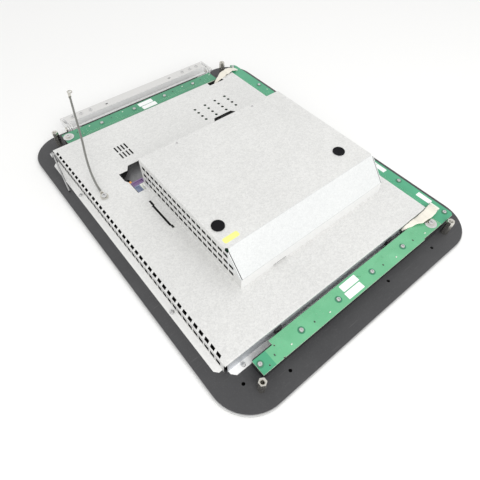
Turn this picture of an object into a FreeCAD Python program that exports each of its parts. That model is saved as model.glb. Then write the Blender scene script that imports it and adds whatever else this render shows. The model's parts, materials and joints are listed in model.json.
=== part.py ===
import FreeCAD, Part
import math
import os

# Rear-mounted HMI touch panel, lying on its front face.
# Frame: millimetres, +Z points away from the front face (towards the rear of the panel),
# X runs along the 400 mm side, Y along the 516 mm side, origin at the centre of the front face.

V = FreeCAD.Vector

# ---------------------------------------------------------------- driving dimensions
PANEL_X = 400.0            # outline of the front bezel
PANEL_Y = 516.0
CORNER_R = 48.0
BEZEL_T = 6.5              # aluminium bezel
PLATE_T = 1.5              # black steel mounting plate behind the bezel
PLATE_INSET = 1.2
FRONT_CHAMFER = 1.5

DISPLAY_X = 324.0          # 19 inch display module
DISPLAY_Y = 396.0
DISPLAY_T = 12.0
DISPLAY_CENTRE_X = -10.5
ACTIVE_X = 302.0           # picture area of the display
ACTIVE_Y = 377.0

GLASS_X = 334.0
GLASS_Y = 406.0
GLASS_T = 3.0
GLASS_R = 5.5
GLASS_GAP = 0.5            # gap around the glass, which is flush with the bezel's face
TAPE_T = 0.4

SHEET = 1.0                # galvanised sheet of the tray and the cover
BEND_R = 1.6               # outside radius of its bends
TRAY_LEFT = -176.0
TRAY_RIGHT = 153.6
TRAY_HALF_Y = 201.2
TRAY_DEPTH = 21.5
FLANGE_W = 8.2

COVER_LEFT = -108.8        # raised electronics cover on the tray
COVER_RIGHT = 126.5
COVER_FAR = 59.2
COVER_NEAR = -144.0
COVER_TOP_NEAR = -118.4    # where the sloping face starts
COVER_H = 46.9             # above the tray
COVER_STEP_H = 16.9        # vertical part below the sloping face
CORNER_RELIEF_R = 2.5      # holes where the cover's folds meet
SEAM_W = 0.9               # open seams beside the sloping face
COVER_SCREW_HEAD = (1.6, 0.8)   # radius and height
PORT_X = 96.4              # two round ports, mirrored about the Y axis
PORT_Y = -88.0
PORT_R = 6.6
PORT_PLUG_R = 7.8

VENT_PITCH = 9.8           # slots of the cover
TRAY_VENT_PITCH = 9.89
TRAY_SLOT = (6.4, 7.3)     # slot length along Y in the tray's top and in its wall
TRAY_TOP_SLOT = (0.9, 4.1)     # its slanted top slots, from the left edge
TRAY_TOP_SHIFT = (-0.4, 1.25)  # and their middle along Y at both ends
TRAY_WALL_SLOT = (5.5, 14.2)   # lower and upper end above the plate
TRAY_WALL_SHIFT = -1.35
VENT_COUNT_TRAY = 39
COVER_SLOT = 7.4           # and in the cover's walls
COVER_SLOT_H = 5.0
COVER_SLOT_FAR = 50.0
VENT_ROWS_COVER = (19, 19, 18)
VENT_ROW_PITCH = 11.8
ROUND_VENT_R = 2.3         # 4 by 4 round holes in the tray's top
ROUND_VENT_PITCH = (19.7, 10.0)
ROUND_VENT_CORNER = (39.3, 122.2)
GRILLE_PITCH = 5.2         # generic slotted grille beside them
GRILLE_SLOT = (2.4, 12.6)
CABLE_SLOT_X = -118.8      # long slot with a wider window at both ends
CABLE_SLOT_Y = (-25.5, 31.0)
CABLE_SLOT_W = 1.0
CABLE_WINDOW = (3.0, 5.5, 10.5)   # width, and length of the near and the far window
CABLE_RAMP = (5.5, 0.75)   # width and depth of the pressed-in strip beside the slot
CLINCH_PLACES = ((-113.4, 49.6), (-113.4, -108.5))
CLINCH_R = (1.2, 2.3)
CONNECTOR_OPENING = [(-126, 98), (-113, 98), (-108, 106), (-72, 106), (-72, 62), (-110.6, 62),
                     (-110.6, 52), (-123, 52), (-123, 76), (-126, 82)]

BOARD_T = 1.6              # key circuit boards
BOARD_TOP = 17.0           # above the mounting plate
STRIP_INNER_Y = 206.4      # near and far strips, distance from the X axis
STRIP_OUTER_Y = 230.2
SIDE_INNER_X = 155.6       # side strip
SIDE_OUTER_X = 176.5
STRIP_LEFT = -150.8
STRIP_RIGHT = 148.5
FAR_STRIP_RIGHT = 124.0    # the far strip is shorter
NEAR_STEP = (112.5, 1.4)   # the near strip's outer edge steps back here
STRIP_SCREW_Y = 219.5
STRIP_SCREW_START = -146.5
STRIP_SCREW_PITCH = 57.1
EARTH_SCREW_X = (139.0, -144.0)   # screws with large washers, on the near and on the far strip
EARTH_WASHER_R = 8.0
SIDE_SCREW_X = 169.3
SIDE_SCREW_PITCH = 58.8

KEY_TRAVEL = 2.5
KEY_CAP_T = 3.2
KEY_RECESS = 0.3           # key faces sit this far inside the front face
KEY_GAP = 0.3
KEY_LONG = 34.0
KEY_SHORT_STRIP = 16.0
KEY_SHORT_SIDE = 12.0
PLUNGER = 8.0
COLLAR = 12.0
COLLAR_T = 1.4
SWITCH_H = 4.0

STANDOFF_X = 157.2
STANDOFF_Y = 235.2
STANDOFF_H = 23.0
STANDOFF_AF = 8.0          # hexagon across flats
STANDOFF_THREAD_R = 2.5    # M5 thread, modelled at its nominal radius
STANDOFF_THREAD_DEPTH = 12.0
STUD_R = 1.95              # M4 stud that holds the standoff in the bezel
STUD_HOLE_R = 2.0

HINGE_X = 132.4            # centre of each hinge bracket's lug
HINGE_Y = 245.0
HINGE_Z = 20.0
HINGE_PIN_R = 2.0
HINGE_BAR_NEAR = 252.0
HINGE_BAR_FAR = 269.0
HINGE_BAR_TOP = 25.0
HINGE_BAR_H = 10.0
HINGE_SHEET = 2.0
ARM_GAP = 1.1              # clearance between the lug and each arm of the fork
BAR_SCREWS_X = (88.0, 104.0, 118.0)
BRACKET_FOOT = (112.0, 236.5, 253.5)   # inner end, near and far edge of the bracket's foot
BRACKET_SCREW_X = 121.0
BAR_MOUNT_X = 60.0         # the bar's own fixing holes
BAR_MOUNT_R = 2.75

LANYARD_X = -160.6         # eye of the lanyard, on top of the tray
LANYARD_Y = 73.5
ROPE_R = 1.5
FREE_EYE = (-121.2, 212.5, 95.2)   # centre of the level ring at the rope's free end
FREE_EYE_R = 3.6
FREE_EYE_HOLE_R = 2.15     # takes an M4 screw
FREE_EYE_T = 1.2
FREE_SLEEVE = (1.9, 5.5)   # radius and length of its crimp sleeve
EYE_LIFT = 0.2             # gap between the lower eye and the tray

STAY_Y = 197.0             # pivot of the stay rod, on the tray's left wall
STAY_DROP = 4.5            # its height below the tray's top
STAY_WIRE_R = 1.2
STAY_TIP = (-188.7, 133.0)

SCREW_R = 1.45             # M3 shank
SCREW_HOLE_R = 1.5
SCREW_PASS_R = 1.7
SCREW_HEAD_R = 2.8
SCREW_HEAD_H = 1.8
BEZEL_HOLE_Z = 2.5         # blind holes in the bezel end this far from its face
SPARE_HOLES = ((-122.0, 240.0), (124.0, 240.0), (-168.0, 220.0), (42.0, 236.0))
SPARE_HOLE_R = 2.0         # open holes in the plate, also mirrored about the X axis
NEAR_CABLE_SLOT = (100.0, 124.0, 18.0, 25.0)   # in the tray's near wall: x and z
FAR_CABLE_NOTCH = (98.0, 127.0, 10.0, 20.0)    # in its far edge: x, depth along Y, lower end

PCB_T = 1.6                # boards inside
MAINBOARD_LIFT = 6.0       # gap between the tray and the processor board
SINK_BASE = 4.0
SINK_H = 14.0
SINK_SIDE = 60.0
SINK_FINS = 13
FAN_SIDE = 60.0
FAN_H = 12.0
FAN_DUCT_R = 28.0
FAN_BLADE_R = 26.6
FAN_HUB_R = 11.0
FAN_AXLE_R = 1.5
FAN_CENTRE = (10.0, -30.0)

# ---------------------------------------------------------------- derived levels
PLATE_TOP = BEZEL_T + PLATE_T
TRAY_TOP = PLATE_TOP + TRAY_DEPTH
COVER_TOP = TRAY_TOP + COVER_H
COVER_STEP_Z = TRAY_TOP + COVER_STEP_H
BOARD_Z1 = PLATE_TOP + BOARD_TOP
BOARD_Z0 = BOARD_Z1 - BOARD_T
DISPLAY_Z0 = BEZEL_T
DISPLAY_Z1 = DISPLAY_Z0 + DISPLAY_T
GLASS_Z0 = 0.0
GLASS_Z1 = GLASS_Z0 + GLASS_T
POCKET_DEPTH = GLASS_Z1 + TAPE_T
STRIP_MID_Y = (STRIP_INNER_Y + STRIP_OUTER_Y) / 2
SIDE_MID_X = (SIDE_INNER_X + SIDE_OUTER_X) / 2
STRIP_SCREWS_X = [STRIP_SCREW_START + STRIP_SCREW_PITCH * i for i in range(6)]
SIDE_SCREWS_Y = [SIDE_SCREW_PITCH * (i - 2.5) for i in range(6)]
STRIP_KEYS_X = [STRIP_SCREW_START + STRIP_SCREW_PITCH * (i + 0.5) for i in (0, 1, 3, 4)]
SIDE_KEYS_Y = [SIDE_SCREW_PITCH * (i - 2) for i in range(5)]
EARTH_PLACES = ((EARTH_SCREW_X[0], -STRIP_SCREW_Y), (EARTH_SCREW_X[1], STRIP_SCREW_Y))
PORT_PLACES = ((-PORT_X, PORT_Y), (PORT_X, PORT_Y))
CHASSIS_Z = DISPLAY_Z1
CONNECTOR_Z = CHASSIS_Z + SHEET
MAINBOARD_Z = TRAY_TOP + MAINBOARD_LIFT
SINK_Z = MAINBOARD_Z + PCB_T
FAN_Z = SINK_Z + SINK_H
ROPE_Z = TRAY_TOP + 1.9
ROPE_PATH = [V(LANYARD_X, LANYARD_Y + 9.0, ROPE_Z), V(-160.0, 93.0, 35.0), V(-156.3, 114.1, 44.0),
             V(-142.9, 152.9, 62.0), V(-129.3, 192.7, 84.0), V(-124.6, 206.0, 92.0)]
STAY_Z = TRAY_TOP - STAY_DROP
STAY_X = TRAY_LEFT - 2.6


# ---------------------------------------------------------------- helpers
def block(x0, x1, y0, y1, z0, z1):
    """Box between two corners."""
    return Part.makeBox(x1 - x0, y1 - y0, z1 - z0, V(x0, y0, z0))


def rounded_block(x0, x1, y0, y1, z0, z1, radius):
    """Box whose vertical edges are rounded."""
    solid = block(x0, x1, y0, y1, z0, z1)
    uprights = [e for e in solid.Edges if abs(e.Vertexes[0].Z - e.Vertexes[-1].Z) > 1e-6]
    return solid.makeFillet(radius, uprights)


def prism(points, z0, z1):
    """Upright prism over a closed outline of (x, y) corners."""
    wire = Part.makePolygon([V(x, y, z0) for x, y in points] + [V(*points[0], z0)])
    return Part.Face(wire).extrude(V(0, 0, z1 - z0))


def profile_along_x(points, x0, x1):
    """Prism along X over a closed outline of (y, z) corners."""
    wire = Part.makePolygon([V(x0, y, z) for y, z in points] + [V(x0, *points[0])])
    return Part.Face(wire).extrude(V(x1 - x0, 0, 0))


def post(x, y, z0, z1, radius):
    """Upright cylinder."""
    return Part.makeCylinder(radius, z1 - z0, V(x, y, z0))


def rod_x(x0, x1, y, z, radius):
    """Cylinder along X."""
    return Part.makeCylinder(radius, x1 - x0, V(x0, y, z), V(1, 0, 0))


def hexagon(x, y, z0, z1, across_flats):
    """Upright hexagonal bar."""
    reach = across_flats / math.sqrt(3)
    corners = [(x + reach * math.cos(math.radians(60 * i + 30)),
                y + reach * math.sin(math.radians(60 * i + 30))) for i in range(6)]
    return prism(corners, z0, z1)


def edges_at(solid, z):
    """Edges that lie in the level z."""
    return [e for e in solid.Edges if e.BoundBox.ZMin > z - 0.01 and e.BoundBox.ZMax < z + 0.01]


def cut_all(solid, tools):
    """Subtract a list of tools in one go."""
    return solid.cut(Part.makeCompound(tools))


def group(solids):
    """Several separate solids in one node."""
    return Part.makeCompound(solids)


def pan_screw(x, y, seat_z, length, shank_r=SCREW_R, head_r=SCREW_HEAD_R, head_h=SCREW_HEAD_H):
    """Pan-head screw with a cross recess, head resting on seat_z."""
    head = post(x, y, seat_z, seat_z + head_h, head_r)
    rim = [e for e in head.Edges if e.Closed and e.Vertexes[0].Z > seat_z + head_h / 2]
    head = head.makeFillet(head_h * 0.45, rim)
    half = head_r * 0.55
    width = head_r * 0.11
    top = seat_z + head_h
    recess = [block(x - half, x + half, y - width, y + width, top - head_h * 0.5, top + 1),
              block(x - width, x + width, y - half, y + half, top - head_h * 0.5, top + 1)]
    shank = post(x, y, seat_z - length, seat_z, shank_r)
    return cut_all(head.fuse(shank), recess)


def save(name, shape):
    """Write one node."""
    shape.exportStep(f"parts/{name}.step")
    print(f"{name}: {len(shape.Solids)} solid(s)")


# ---------------------------------------------------------------- hole positions shared by pieces
def key_places():
    """(name, x, y, size_x, size_y) of every front key."""
    places = []
    for index, x in enumerate(STRIP_KEYS_X):
        places.append((f"key_near_{index + 1}", x, -STRIP_MID_Y, KEY_LONG, KEY_SHORT_STRIP))
    for index, x in enumerate(STRIP_KEYS_X):
        places.append((f"key_far_{index + 1}", x, STRIP_MID_Y, KEY_LONG, KEY_SHORT_STRIP))
    for index, y in enumerate(SIDE_KEYS_Y):
        places.append((f"key_side_{index + 1}", SIDE_MID_X, y, KEY_SHORT_SIDE, KEY_LONG))
    return places


def standoff_places():
    return [(sx * STANDOFF_X, sy * STANDOFF_Y) for sx in (-1, 1) for sy in (-1, 1)]


def tray_screw_places():
    flange_x = TRAY_LEFT - FLANGE_W / 2
    flange_y = TRAY_HALF_Y + FLANGE_W / 2
    return [(-156.0, -flange_y), (-156.0, flange_y), (flange_x, -110.0), (flange_x, 116.0)]


def bracket_screw_places():
    return [(side * BRACKET_SCREW_X, HINGE_Y) for side in (-1, 1)]


def spare_hole_places():
    return [(x, side * y) for x, y in SPARE_HOLES for side in (-1, 1)]


def cover_screw_places():
    return [(-54.8, COVER_FAR - 6.0), (72.0, COVER_FAR - 6.0)]


# ---------------------------------------------------------------- front stack
def front_bezel():
    """Anodised aluminium bezel with the glass pocket, the display window and the key openings."""
    body = rounded_block(-PANEL_X / 2, PANEL_X / 2, -PANEL_Y / 2, PANEL_Y / 2, 0, BEZEL_T, CORNER_R)
    front_edges = [e for e in body.Edges if max(v.Z for v in e.Vertexes) < 1e-6]
    body = body.makeChamfer(FRONT_CHAMFER, front_edges)
    tools = [rounded_block(*glass_outline(GLASS_GAP), -1, POCKET_DEPTH, GLASS_R + GLASS_GAP),
             rounded_block(*active_outline(3.0), -1, BEZEL_T + 1, 3.0)]
    for _, x, y, size_x, size_y in key_places():
        tools.append(rounded_block(x - size_x / 2 - KEY_GAP, x + size_x / 2 + KEY_GAP,
                                   y - size_y / 2 - KEY_GAP, y + size_y / 2 + KEY_GAP,
                                   -1, BEZEL_T + 1, 2.3))
    for x, y in standoff_places():
        tools.append(post(x, y, BEZEL_HOLE_Z, BEZEL_T + 1, STUD_HOLE_R))
    for x, y in tray_screw_places() + bracket_screw_places():
        tools.append(post(x, y, BEZEL_HOLE_Z, BEZEL_T + 1, SCREW_HOLE_R))
    tools += [post(x, y, BEZEL_HOLE_Z, BEZEL_T + 1, SPARE_HOLE_R) for x, y in spare_hole_places()]
    return cut_all(body, tools)


def active_outline(margin):
    """Window over the display's picture area."""
    return (DISPLAY_CENTRE_X - ACTIVE_X / 2 - margin, DISPLAY_CENTRE_X + ACTIVE_X / 2 + margin,
            -ACTIVE_Y / 2 - margin, ACTIVE_Y / 2 + margin)


def glass_outline(margin):
    """Edge of the touch glass."""
    return (DISPLAY_CENTRE_X - GLASS_X / 2 - margin, DISPLAY_CENTRE_X + GLASS_X / 2 + margin,
            -GLASS_Y / 2 - margin, GLASS_Y / 2 + margin)


def touch_glass():
    return rounded_block(*glass_outline(0), GLASS_Z0, GLASS_Z1, GLASS_R)


def glass_tape():
    """Adhesive frame between the glass and the bezel's ledge."""
    outer = rounded_block(*glass_outline(-1.5), GLASS_Z1, POCKET_DEPTH, 5.0)
    return outer.cut(rounded_block(*active_outline(5.0), GLASS_Z1 - 1, POCKET_DEPTH + 1, 3.5))


def display_module():
    """Display with its metal frame; the picture area is set back behind the frame."""
    x0 = DISPLAY_CENTRE_X - DISPLAY_X / 2
    body = rounded_block(x0, x0 + DISPLAY_X, -DISPLAY_Y / 2, DISPLAY_Y / 2, DISPLAY_Z0, DISPLAY_Z1, 2.0)
    return body.cut(block(*active_outline(0), DISPLAY_Z0 - 1, DISPLAY_Z0 + 0.8))


def mounting_plate():
    """Black plate between the bezel and everything that is screwed on from the rear."""
    half_x = PANEL_X / 2 - PLATE_INSET
    half_y = PANEL_Y / 2 - PLATE_INSET
    body = rounded_block(-half_x, half_x, -half_y, half_y, BEZEL_T, PLATE_TOP, CORNER_R - PLATE_INSET)
    margin = 0.5
    tools = [block(DISPLAY_CENTRE_X - DISPLAY_X / 2 - margin, DISPLAY_CENTRE_X + DISPLAY_X / 2 + margin,
                   -DISPLAY_Y / 2 - margin, DISPLAY_Y / 2 + margin, BEZEL_T - 1, PLATE_TOP + 1)]
    half = PLUNGER / 2 + 0.4
    for _, x, y, _, _ in key_places():
        tools.append(block(x - half, x + half, y - half, y + half, BEZEL_T - 1, PLATE_TOP + 1))
    for x, y in standoff_places():
        tools.append(post(x, y, BEZEL_T - 1, PLATE_TOP + 1, STUD_HOLE_R))
    for x, y in tray_screw_places() + bracket_screw_places():
        tools.append(post(x, y, BEZEL_T - 1, PLATE_TOP + 1, SCREW_HOLE_R))
    tools += [post(x, y, BEZEL_T - 1, PLATE_TOP + 1, SPARE_HOLE_R) for x, y in spare_hole_places()]
    return cut_all(body, tools)


def corner_standoffs():
    """Four hexagon standoffs, each with a stud in the plate and an M5 hole in its end."""
    solids = []
    for x, y in standoff_places():
        bar = hexagon(x, y, PLATE_TOP, PLATE_TOP + STANDOFF_H, STANDOFF_AF)
        bar = bar.fuse(post(x, y, BEZEL_HOLE_Z + 0.5, PLATE_TOP, STUD_R))
        hole_floor = PLATE_TOP + STANDOFF_H - STANDOFF_THREAD_DEPTH
        solids.append(bar.cut(post(x, y, hole_floor, PLATE_TOP + STANDOFF_H + 1, STANDOFF_THREAD_R)))
    return group(solids)


# ---------------------------------------------------------------- tray
def tray_vents():
    """Two staggered rows of slots along the left side, one in the top and one in the wall."""
    tools = []
    first = -TRAY_VENT_PITCH * (VENT_COUNT_TRAY - 1) / 2
    half, wall_half = TRAY_SLOT[0] / 2, TRAY_SLOT[1] / 2
    x0, x1 = TRAY_LEFT + TRAY_TOP_SLOT[0], TRAY_LEFT + TRAY_TOP_SLOT[1]
    z0, z1 = PLATE_TOP + TRAY_WALL_SLOT[0], PLATE_TOP + TRAY_WALL_SLOT[1]
    for index in range(VENT_COUNT_TRAY):
        y = first + TRAY_VENT_PITCH * index
        y0, y1 = y + TRAY_TOP_SHIFT[0], y + TRAY_TOP_SHIFT[1]
        corners = [(x0, y0 - half), (x1, y1 - half), (x1, y1 + half), (x0, y0 + half)]
        tools.append(prism(corners, TRAY_TOP - 2.0, TRAY_TOP + 1))
        middle = y + TRAY_WALL_SHIFT
        tools.append(block(TRAY_LEFT - 1, TRAY_LEFT + 2, middle - wall_half, middle + wall_half, z0, z1))
    return tools


def tray_openings():
    """Openings in the top of the tray."""
    top0 = TRAY_TOP - SHEET - 1
    top1 = TRAY_TOP + 1
    tools = []
    for column in range(4):
        for row in range(4):
            x = ROUND_VENT_CORNER[0] + ROUND_VENT_PITCH[0] * column
            y = ROUND_VENT_CORNER[1] + ROUND_VENT_PITCH[1] * row
            tools.append(post(x, y, top0, top1, ROUND_VENT_R))
    for column in range(4):
        x = -106.0 + GRILLE_PITCH * column
        tools += [block(x, x + GRILLE_SLOT[0], y, y + GRILLE_SLOT[1], top0, top1) for y in (123.0, 138.6)]
    tools += cable_slot(top0, top1)
    for x, y in CLINCH_PLACES:
        inner_r, outer_r = CLINCH_R
        tools.append(post(x, y, TRAY_TOP - 0.4, top1, outer_r).cut(post(x, y, TRAY_TOP - 1, top1, inner_r)))
    tools.append(prism(CONNECTOR_OPENING, top0, top1))
    tools.append(prism([(45.5, 109), (87.5, 109), (82.5, 116), (50.5, 116)], top0, top1))
    tools += [block(x - 14, x + 14, -65, -15, top0, top1) for x in (-40.0, 60.0)]
    return tools


def cable_slot(z0, z1):
    """Cable guide: a long slot, a window at both ends, a cross slit and a pressed-in strip."""
    near, far = CABLE_SLOT_Y
    width, near_window, far_window = CABLE_WINDOW
    x0 = CABLE_SLOT_X - CABLE_SLOT_W / 2
    x1 = CABLE_SLOT_X + CABLE_SLOT_W / 2
    ramp_w, ramp_d = CABLE_RAMP
    start_y = near + near_window
    cross_y = far - far_window
    ramp = [V(x0 - ramp_w, start_y, TRAY_TOP), V(x0 + 0.1, start_y, TRAY_TOP - ramp_d),
            V(x0 + 0.1, start_y, TRAY_TOP + 0.1), V(x0 - ramp_w, start_y, TRAY_TOP + 0.1)]
    strip = Part.Face(Part.makePolygon(ramp + [ramp[0]])).extrude(V(0, cross_y - start_y, 0))
    return [block(x0, x1, near, far, z0, z1),
            block(CABLE_SLOT_X - width / 2, CABLE_SLOT_X + width / 2, near, start_y, z0, z1),
            block(CABLE_SLOT_X - width / 2, CABLE_SLOT_X + width / 2, cross_y, far, z0, z1),
            block(x0 - 3.0, x0, cross_y - 0.9, cross_y + 0.3, z0, z1),
            strip]


def opening_tongue():
    """Tongue folded down at the far left corner of the connector opening."""
    left, far = CONNECTOR_OPENING[0]
    right = CONNECTOR_OPENING[1][0]
    bottom = TRAY_TOP - 3.2
    riser = block(left - 1.0, right, far, far + 1.0, bottom, TRAY_TOP - SHEET)
    plate = prism([(left - 1.0, far + 1.0), (left - 1.0, far - 7.0), (left + 2.5, far - 8.5),
                   (right - 2.0, far - 1.5), (right, far + 1.0)], bottom, bottom + SHEET)
    return riser.fuse(plate)


def tray():
    """Galvanised tray over the display, folded from sheet, with flanges on three sides."""
    outer = block(TRAY_LEFT, TRAY_RIGHT, -TRAY_HALF_Y, TRAY_HALF_Y, PLATE_TOP, TRAY_TOP)
    outer = outer.makeFillet(BEND_R, edges_at(outer, TRAY_TOP))
    inner = block(TRAY_LEFT + SHEET, TRAY_RIGHT - SHEET, -TRAY_HALF_Y + SHEET, TRAY_HALF_Y - SHEET,
                  PLATE_TOP - 1, TRAY_TOP - SHEET)
    inner = inner.makeFillet(BEND_R - SHEET, edges_at(inner, TRAY_TOP - SHEET))
    body = outer.cut(inner)
    far = TRAY_HALF_Y + FLANGE_W
    left = TRAY_LEFT - FLANGE_W
    flange_top = PLATE_TOP + SHEET
    body = body.fuse(prism([(TRAY_LEFT + 0.5, -196), (left + 4, -196), (left, -191.5), (left, 193.5),
                            (left + 4, 198), (TRAY_LEFT + 0.5, 198)], PLATE_TOP, flange_top))
    for side in (-1, 1):
        body = body.fuse(prism([(-172, side * (TRAY_HALF_Y - 0.5)), (-172, side * (far - 5)),
                                (-167.5, side * far), (146, side * far),
                                (146, side * (TRAY_HALF_Y - 0.5))], PLATE_TOP, flange_top))
    body = body.fuse(opening_tongue())
    relief = [block(TRAY_LEFT - 0.5, TRAY_LEFT + 3.0, side * TRAY_HALF_Y - 2.2, side * TRAY_HALF_Y + 2.2,
                    PLATE_TOP - 1, TRAY_TOP - SHEET) for side in (-1, 1)]
    tools = relief + tray_vents() + tray_openings()
    for x, y in tray_screw_places():
        tools.append(post(x, y, PLATE_TOP - 1, flange_top + 1, SCREW_PASS_R))
    for x, y in cover_screw_places():
        tools.append(post(x, y, TRAY_TOP - SHEET - 1, TRAY_TOP + 1, SCREW_HOLE_R))
    tools.append(post(LANYARD_X, LANYARD_Y, TRAY_TOP - SHEET - 1, TRAY_TOP + 1, SCREW_HOLE_R))
    tools.append(rod_x(TRAY_LEFT - 1, TRAY_LEFT + 2, STAY_Y, STAY_Z, SCREW_HOLE_R))
    x0, x1, z0, z1 = NEAR_CABLE_SLOT
    tools.append(block(x0, x1, -TRAY_HALF_Y - 1, -TRAY_HALF_Y + 2, z0, z1))
    x0, x1, deep, z0 = FAR_CABLE_NOTCH
    tools.append(block(x0, x1, TRAY_HALF_Y - deep, TRAY_HALF_Y + 1, z0, TRAY_TOP + 1))
    for x in clip_places():
        tools.append(block(x - 2.0, x + 2.0, -TRAY_HALF_Y - 1, -TRAY_HALF_Y + 2, 19.0, 23.0))
    return cut_all(body, tools).removeSplitter()


def clip_places():
    return (-106.5, 77.9)


def wall_clips():
    """Black snap clips pushed through the near wall of the tray."""
    solids = []
    for x in clip_places():
        y = -TRAY_HALF_Y
        head = block(x - 4.5, x + 4.5, y - 3.0, y, 17.0, 25.0)
        head = head.makeFillet(1.2, [e for e in head.Edges if e.BoundBox.YMax < y - 2.9])
        neck = block(x - 1.9, x + 1.9, y, y + SHEET + 2.5, 19.1, 22.9)
        solids.append(head.fuse(neck))
    return group(solids)


def plate_screws():
    """Screws of the tray's flanges and of the two hinge brackets, all driven into the mounting plate."""
    solids = [pan_screw(x, y, PLATE_TOP + SHEET, 5.5) for x, y in tray_screw_places()]
    solids += [pan_screw(x, y, PLATE_TOP + HINGE_SHEET, 6.5) for x, y in bracket_screw_places()]
    return group(solids)


# ---------------------------------------------------------------- electronics cover
def cover_profile(inset):
    """Side outline of the cover as (y, z), pulled in by the sheet thickness for the inside."""
    slope = math.atan2(COVER_TOP - COVER_STEP_Z, COVER_TOP_NEAR - COVER_NEAR)
    shift = inset * math.tan(slope / 2)
    knee = inset * math.tan((math.pi / 2 - slope) / 2)
    bottom = TRAY_TOP if inset == 0 else TRAY_TOP - 1
    return [(COVER_FAR - inset, bottom), (COVER_FAR - inset, COVER_TOP - inset),
            (COVER_TOP_NEAR + shift, COVER_TOP - inset), (COVER_NEAR + inset, COVER_STEP_Z - knee),
            (COVER_NEAR + inset, bottom)]


def cover_bends(body, top):
    """Edges around the cover's top, and the one below its sloping face."""
    lengthwise = [e for e in body.Edges if e.BoundBox.XLength > 100]
    low = [e for e in lengthwise if e.BoundBox.YMax < COVER_NEAR + 2 and e.BoundBox.ZMin > TRAY_TOP + 2]
    return edges_at(body, top) + low


def cover_vents():
    """Three rows of slots in both side walls; the top row is one slot shorter."""
    tools = []
    for row, count in enumerate(VENT_ROWS_COVER):
        z = TRAY_TOP + COVER_H / 2 + VENT_ROW_PITCH * (row - 1)
        for index in range(count):
            y = COVER_SLOT_FAR - VENT_PITCH * index
            for x in (COVER_LEFT, COVER_RIGHT):
                tools.append(block(x - 2, x + 2, y - COVER_SLOT / 2, y + COVER_SLOT / 2,
                                   z - COVER_SLOT_H / 2, z + COVER_SLOT_H / 2))
    return tools


def service_cover():
    """Folded cover with a sloping near face, relief holes in its corners and plugged ports."""
    body = profile_along_x(cover_profile(0), COVER_LEFT, COVER_RIGHT)
    body = body.makeFillet(BEND_R, cover_bends(body, COVER_TOP))
    inside = profile_along_x(cover_profile(SHEET), COVER_LEFT + SHEET, COVER_RIGHT - SHEET)
    body = body.cut(inside.makeFillet(BEND_R - SHEET, cover_bends(inside, COVER_TOP - SHEET)))
    tools = cover_vents()
    tools += [post(x, y, COVER_TOP - SHEET - 1, COVER_TOP + 1, PORT_R) for x, y in PORT_PLACES]
    for x in (COVER_LEFT, COVER_RIGHT):
        tools.append(post(x, COVER_TOP_NEAR, COVER_TOP - 5, COVER_TOP + 1, CORNER_RELIEF_R))
    for x, y in cover_screw_places():
        tools.append(post(x, y, COVER_TOP - SHEET - 1, COVER_TOP + 1, SCREW_PASS_R))
    tools.append(block(-61, -41, COVER_NEAR - 1, COVER_NEAR + 2, TRAY_TOP + 0.6, TRAY_TOP + 2.2))
    tools += slope_seams()
    return cut_all(body, tools)


def slope_seams():
    """Fine grooves where the sloping face meets the side walls."""
    groove = [(COVER_TOP_NEAR + 0.5, COVER_TOP + 0.7), (COVER_NEAR - 0.7, COVER_STEP_Z + 0.4),
              (COVER_NEAR + 0.5, COVER_STEP_Z - 0.2), (COVER_TOP_NEAR + 0.5, COVER_TOP - 0.6)]
    places = (COVER_LEFT + SHEET, COVER_RIGHT - SHEET - SEAM_W)
    return [profile_along_x(groove, x, x + SEAM_W) for x in places]


def cover_screws():
    """Long screws from the cover's top into the tray."""
    head_r, head_h = COVER_SCREW_HEAD
    return group([pan_screw(x, y, COVER_TOP, COVER_H + 4.0, head_r=head_r, head_h=head_h)
                  for x, y in cover_screw_places()])


def port_plugs():
    """Black plugs in the two round ports."""
    solids = []
    for x, y in PORT_PLACES:
        cap = post(x, y, COVER_TOP, COVER_TOP + 1.6, PORT_PLUG_R)
        cap = cap.makeFillet(0.9, [e for e in cap.Edges if e.Closed and e.Vertexes[0].Z > COVER_TOP + 1])
        stem = post(x, y, COVER_TOP - 5.0, COVER_TOP, PORT_R - 0.05)
        bore = post(x, y, COVER_TOP - 6.0, COVER_TOP - 0.4, PORT_R - 1.4)
        solids.append(cap.fuse(stem).cut(bore))
    return group(solids)


def cover_label():
    """Blank coloured label on the cover."""
    return rounded_block(-104.8, -84.8, -112.3, -105.3, COVER_TOP, COVER_TOP + 0.2, 2.0)


# ---------------------------------------------------------------- electronics
def inner_chassis():
    """Dark carrier sheet on the back of the display, with two cable openings."""
    body = block(-165, 145, -188, 188, CHASSIS_Z, CHASSIS_Z + SHEET)
    return cut_all(body, [block(-127, -117, 80, 92, CHASSIS_Z - 1, CHASSIS_Z + 2),
                          block(-40, 0, -150, -90, CHASSIS_Z - 1, CHASSIS_Z + 2)])


def backlight_driver():
    """Backlight board with its transformer and capacitors, on the carrier sheet."""
    z = CHASSIS_Z + SHEET
    board = block(20, 120, 130, 168, z, z + PCB_T)
    for x in (30, 52, 74, 96):
        board = board.fuse(block(x, x + 14, 139, 157, z + PCB_T, z + 5.8))
    return board


def touch_controller():
    """Touch controller board on the carrier sheet."""
    z = CHASSIS_Z + SHEET
    board = block(-60, 0, 150, 180, z, z + PCB_T)
    return board.fuse(block(-40, -24, 158, 174, z + PCB_T, z + 3.2))


def d_sub(x0, x1, y0, y1, z0, z1):
    """Connector housing with a socket recess in its top."""
    body = rounded_block(x0, x1, y0, y1, z0, z1, 1.2)
    return body.cut(rounded_block(x0 + 1.4, x1 - 1.4, y0 + 1.4, y1 - 1.4, z1 - 2.5, z1 + 1, 0.6))


def serial_connector():
    return d_sub(-121.4, -103.0, 67.8, 76.4, CONNECTOR_Z, CONNECTOR_Z + 7.2)


def video_connector():
    return d_sub(-121.4, -113.4, 53.0, 67.2, CONNECTOR_Z, CONNECTOR_Z + 7.6)


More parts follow.
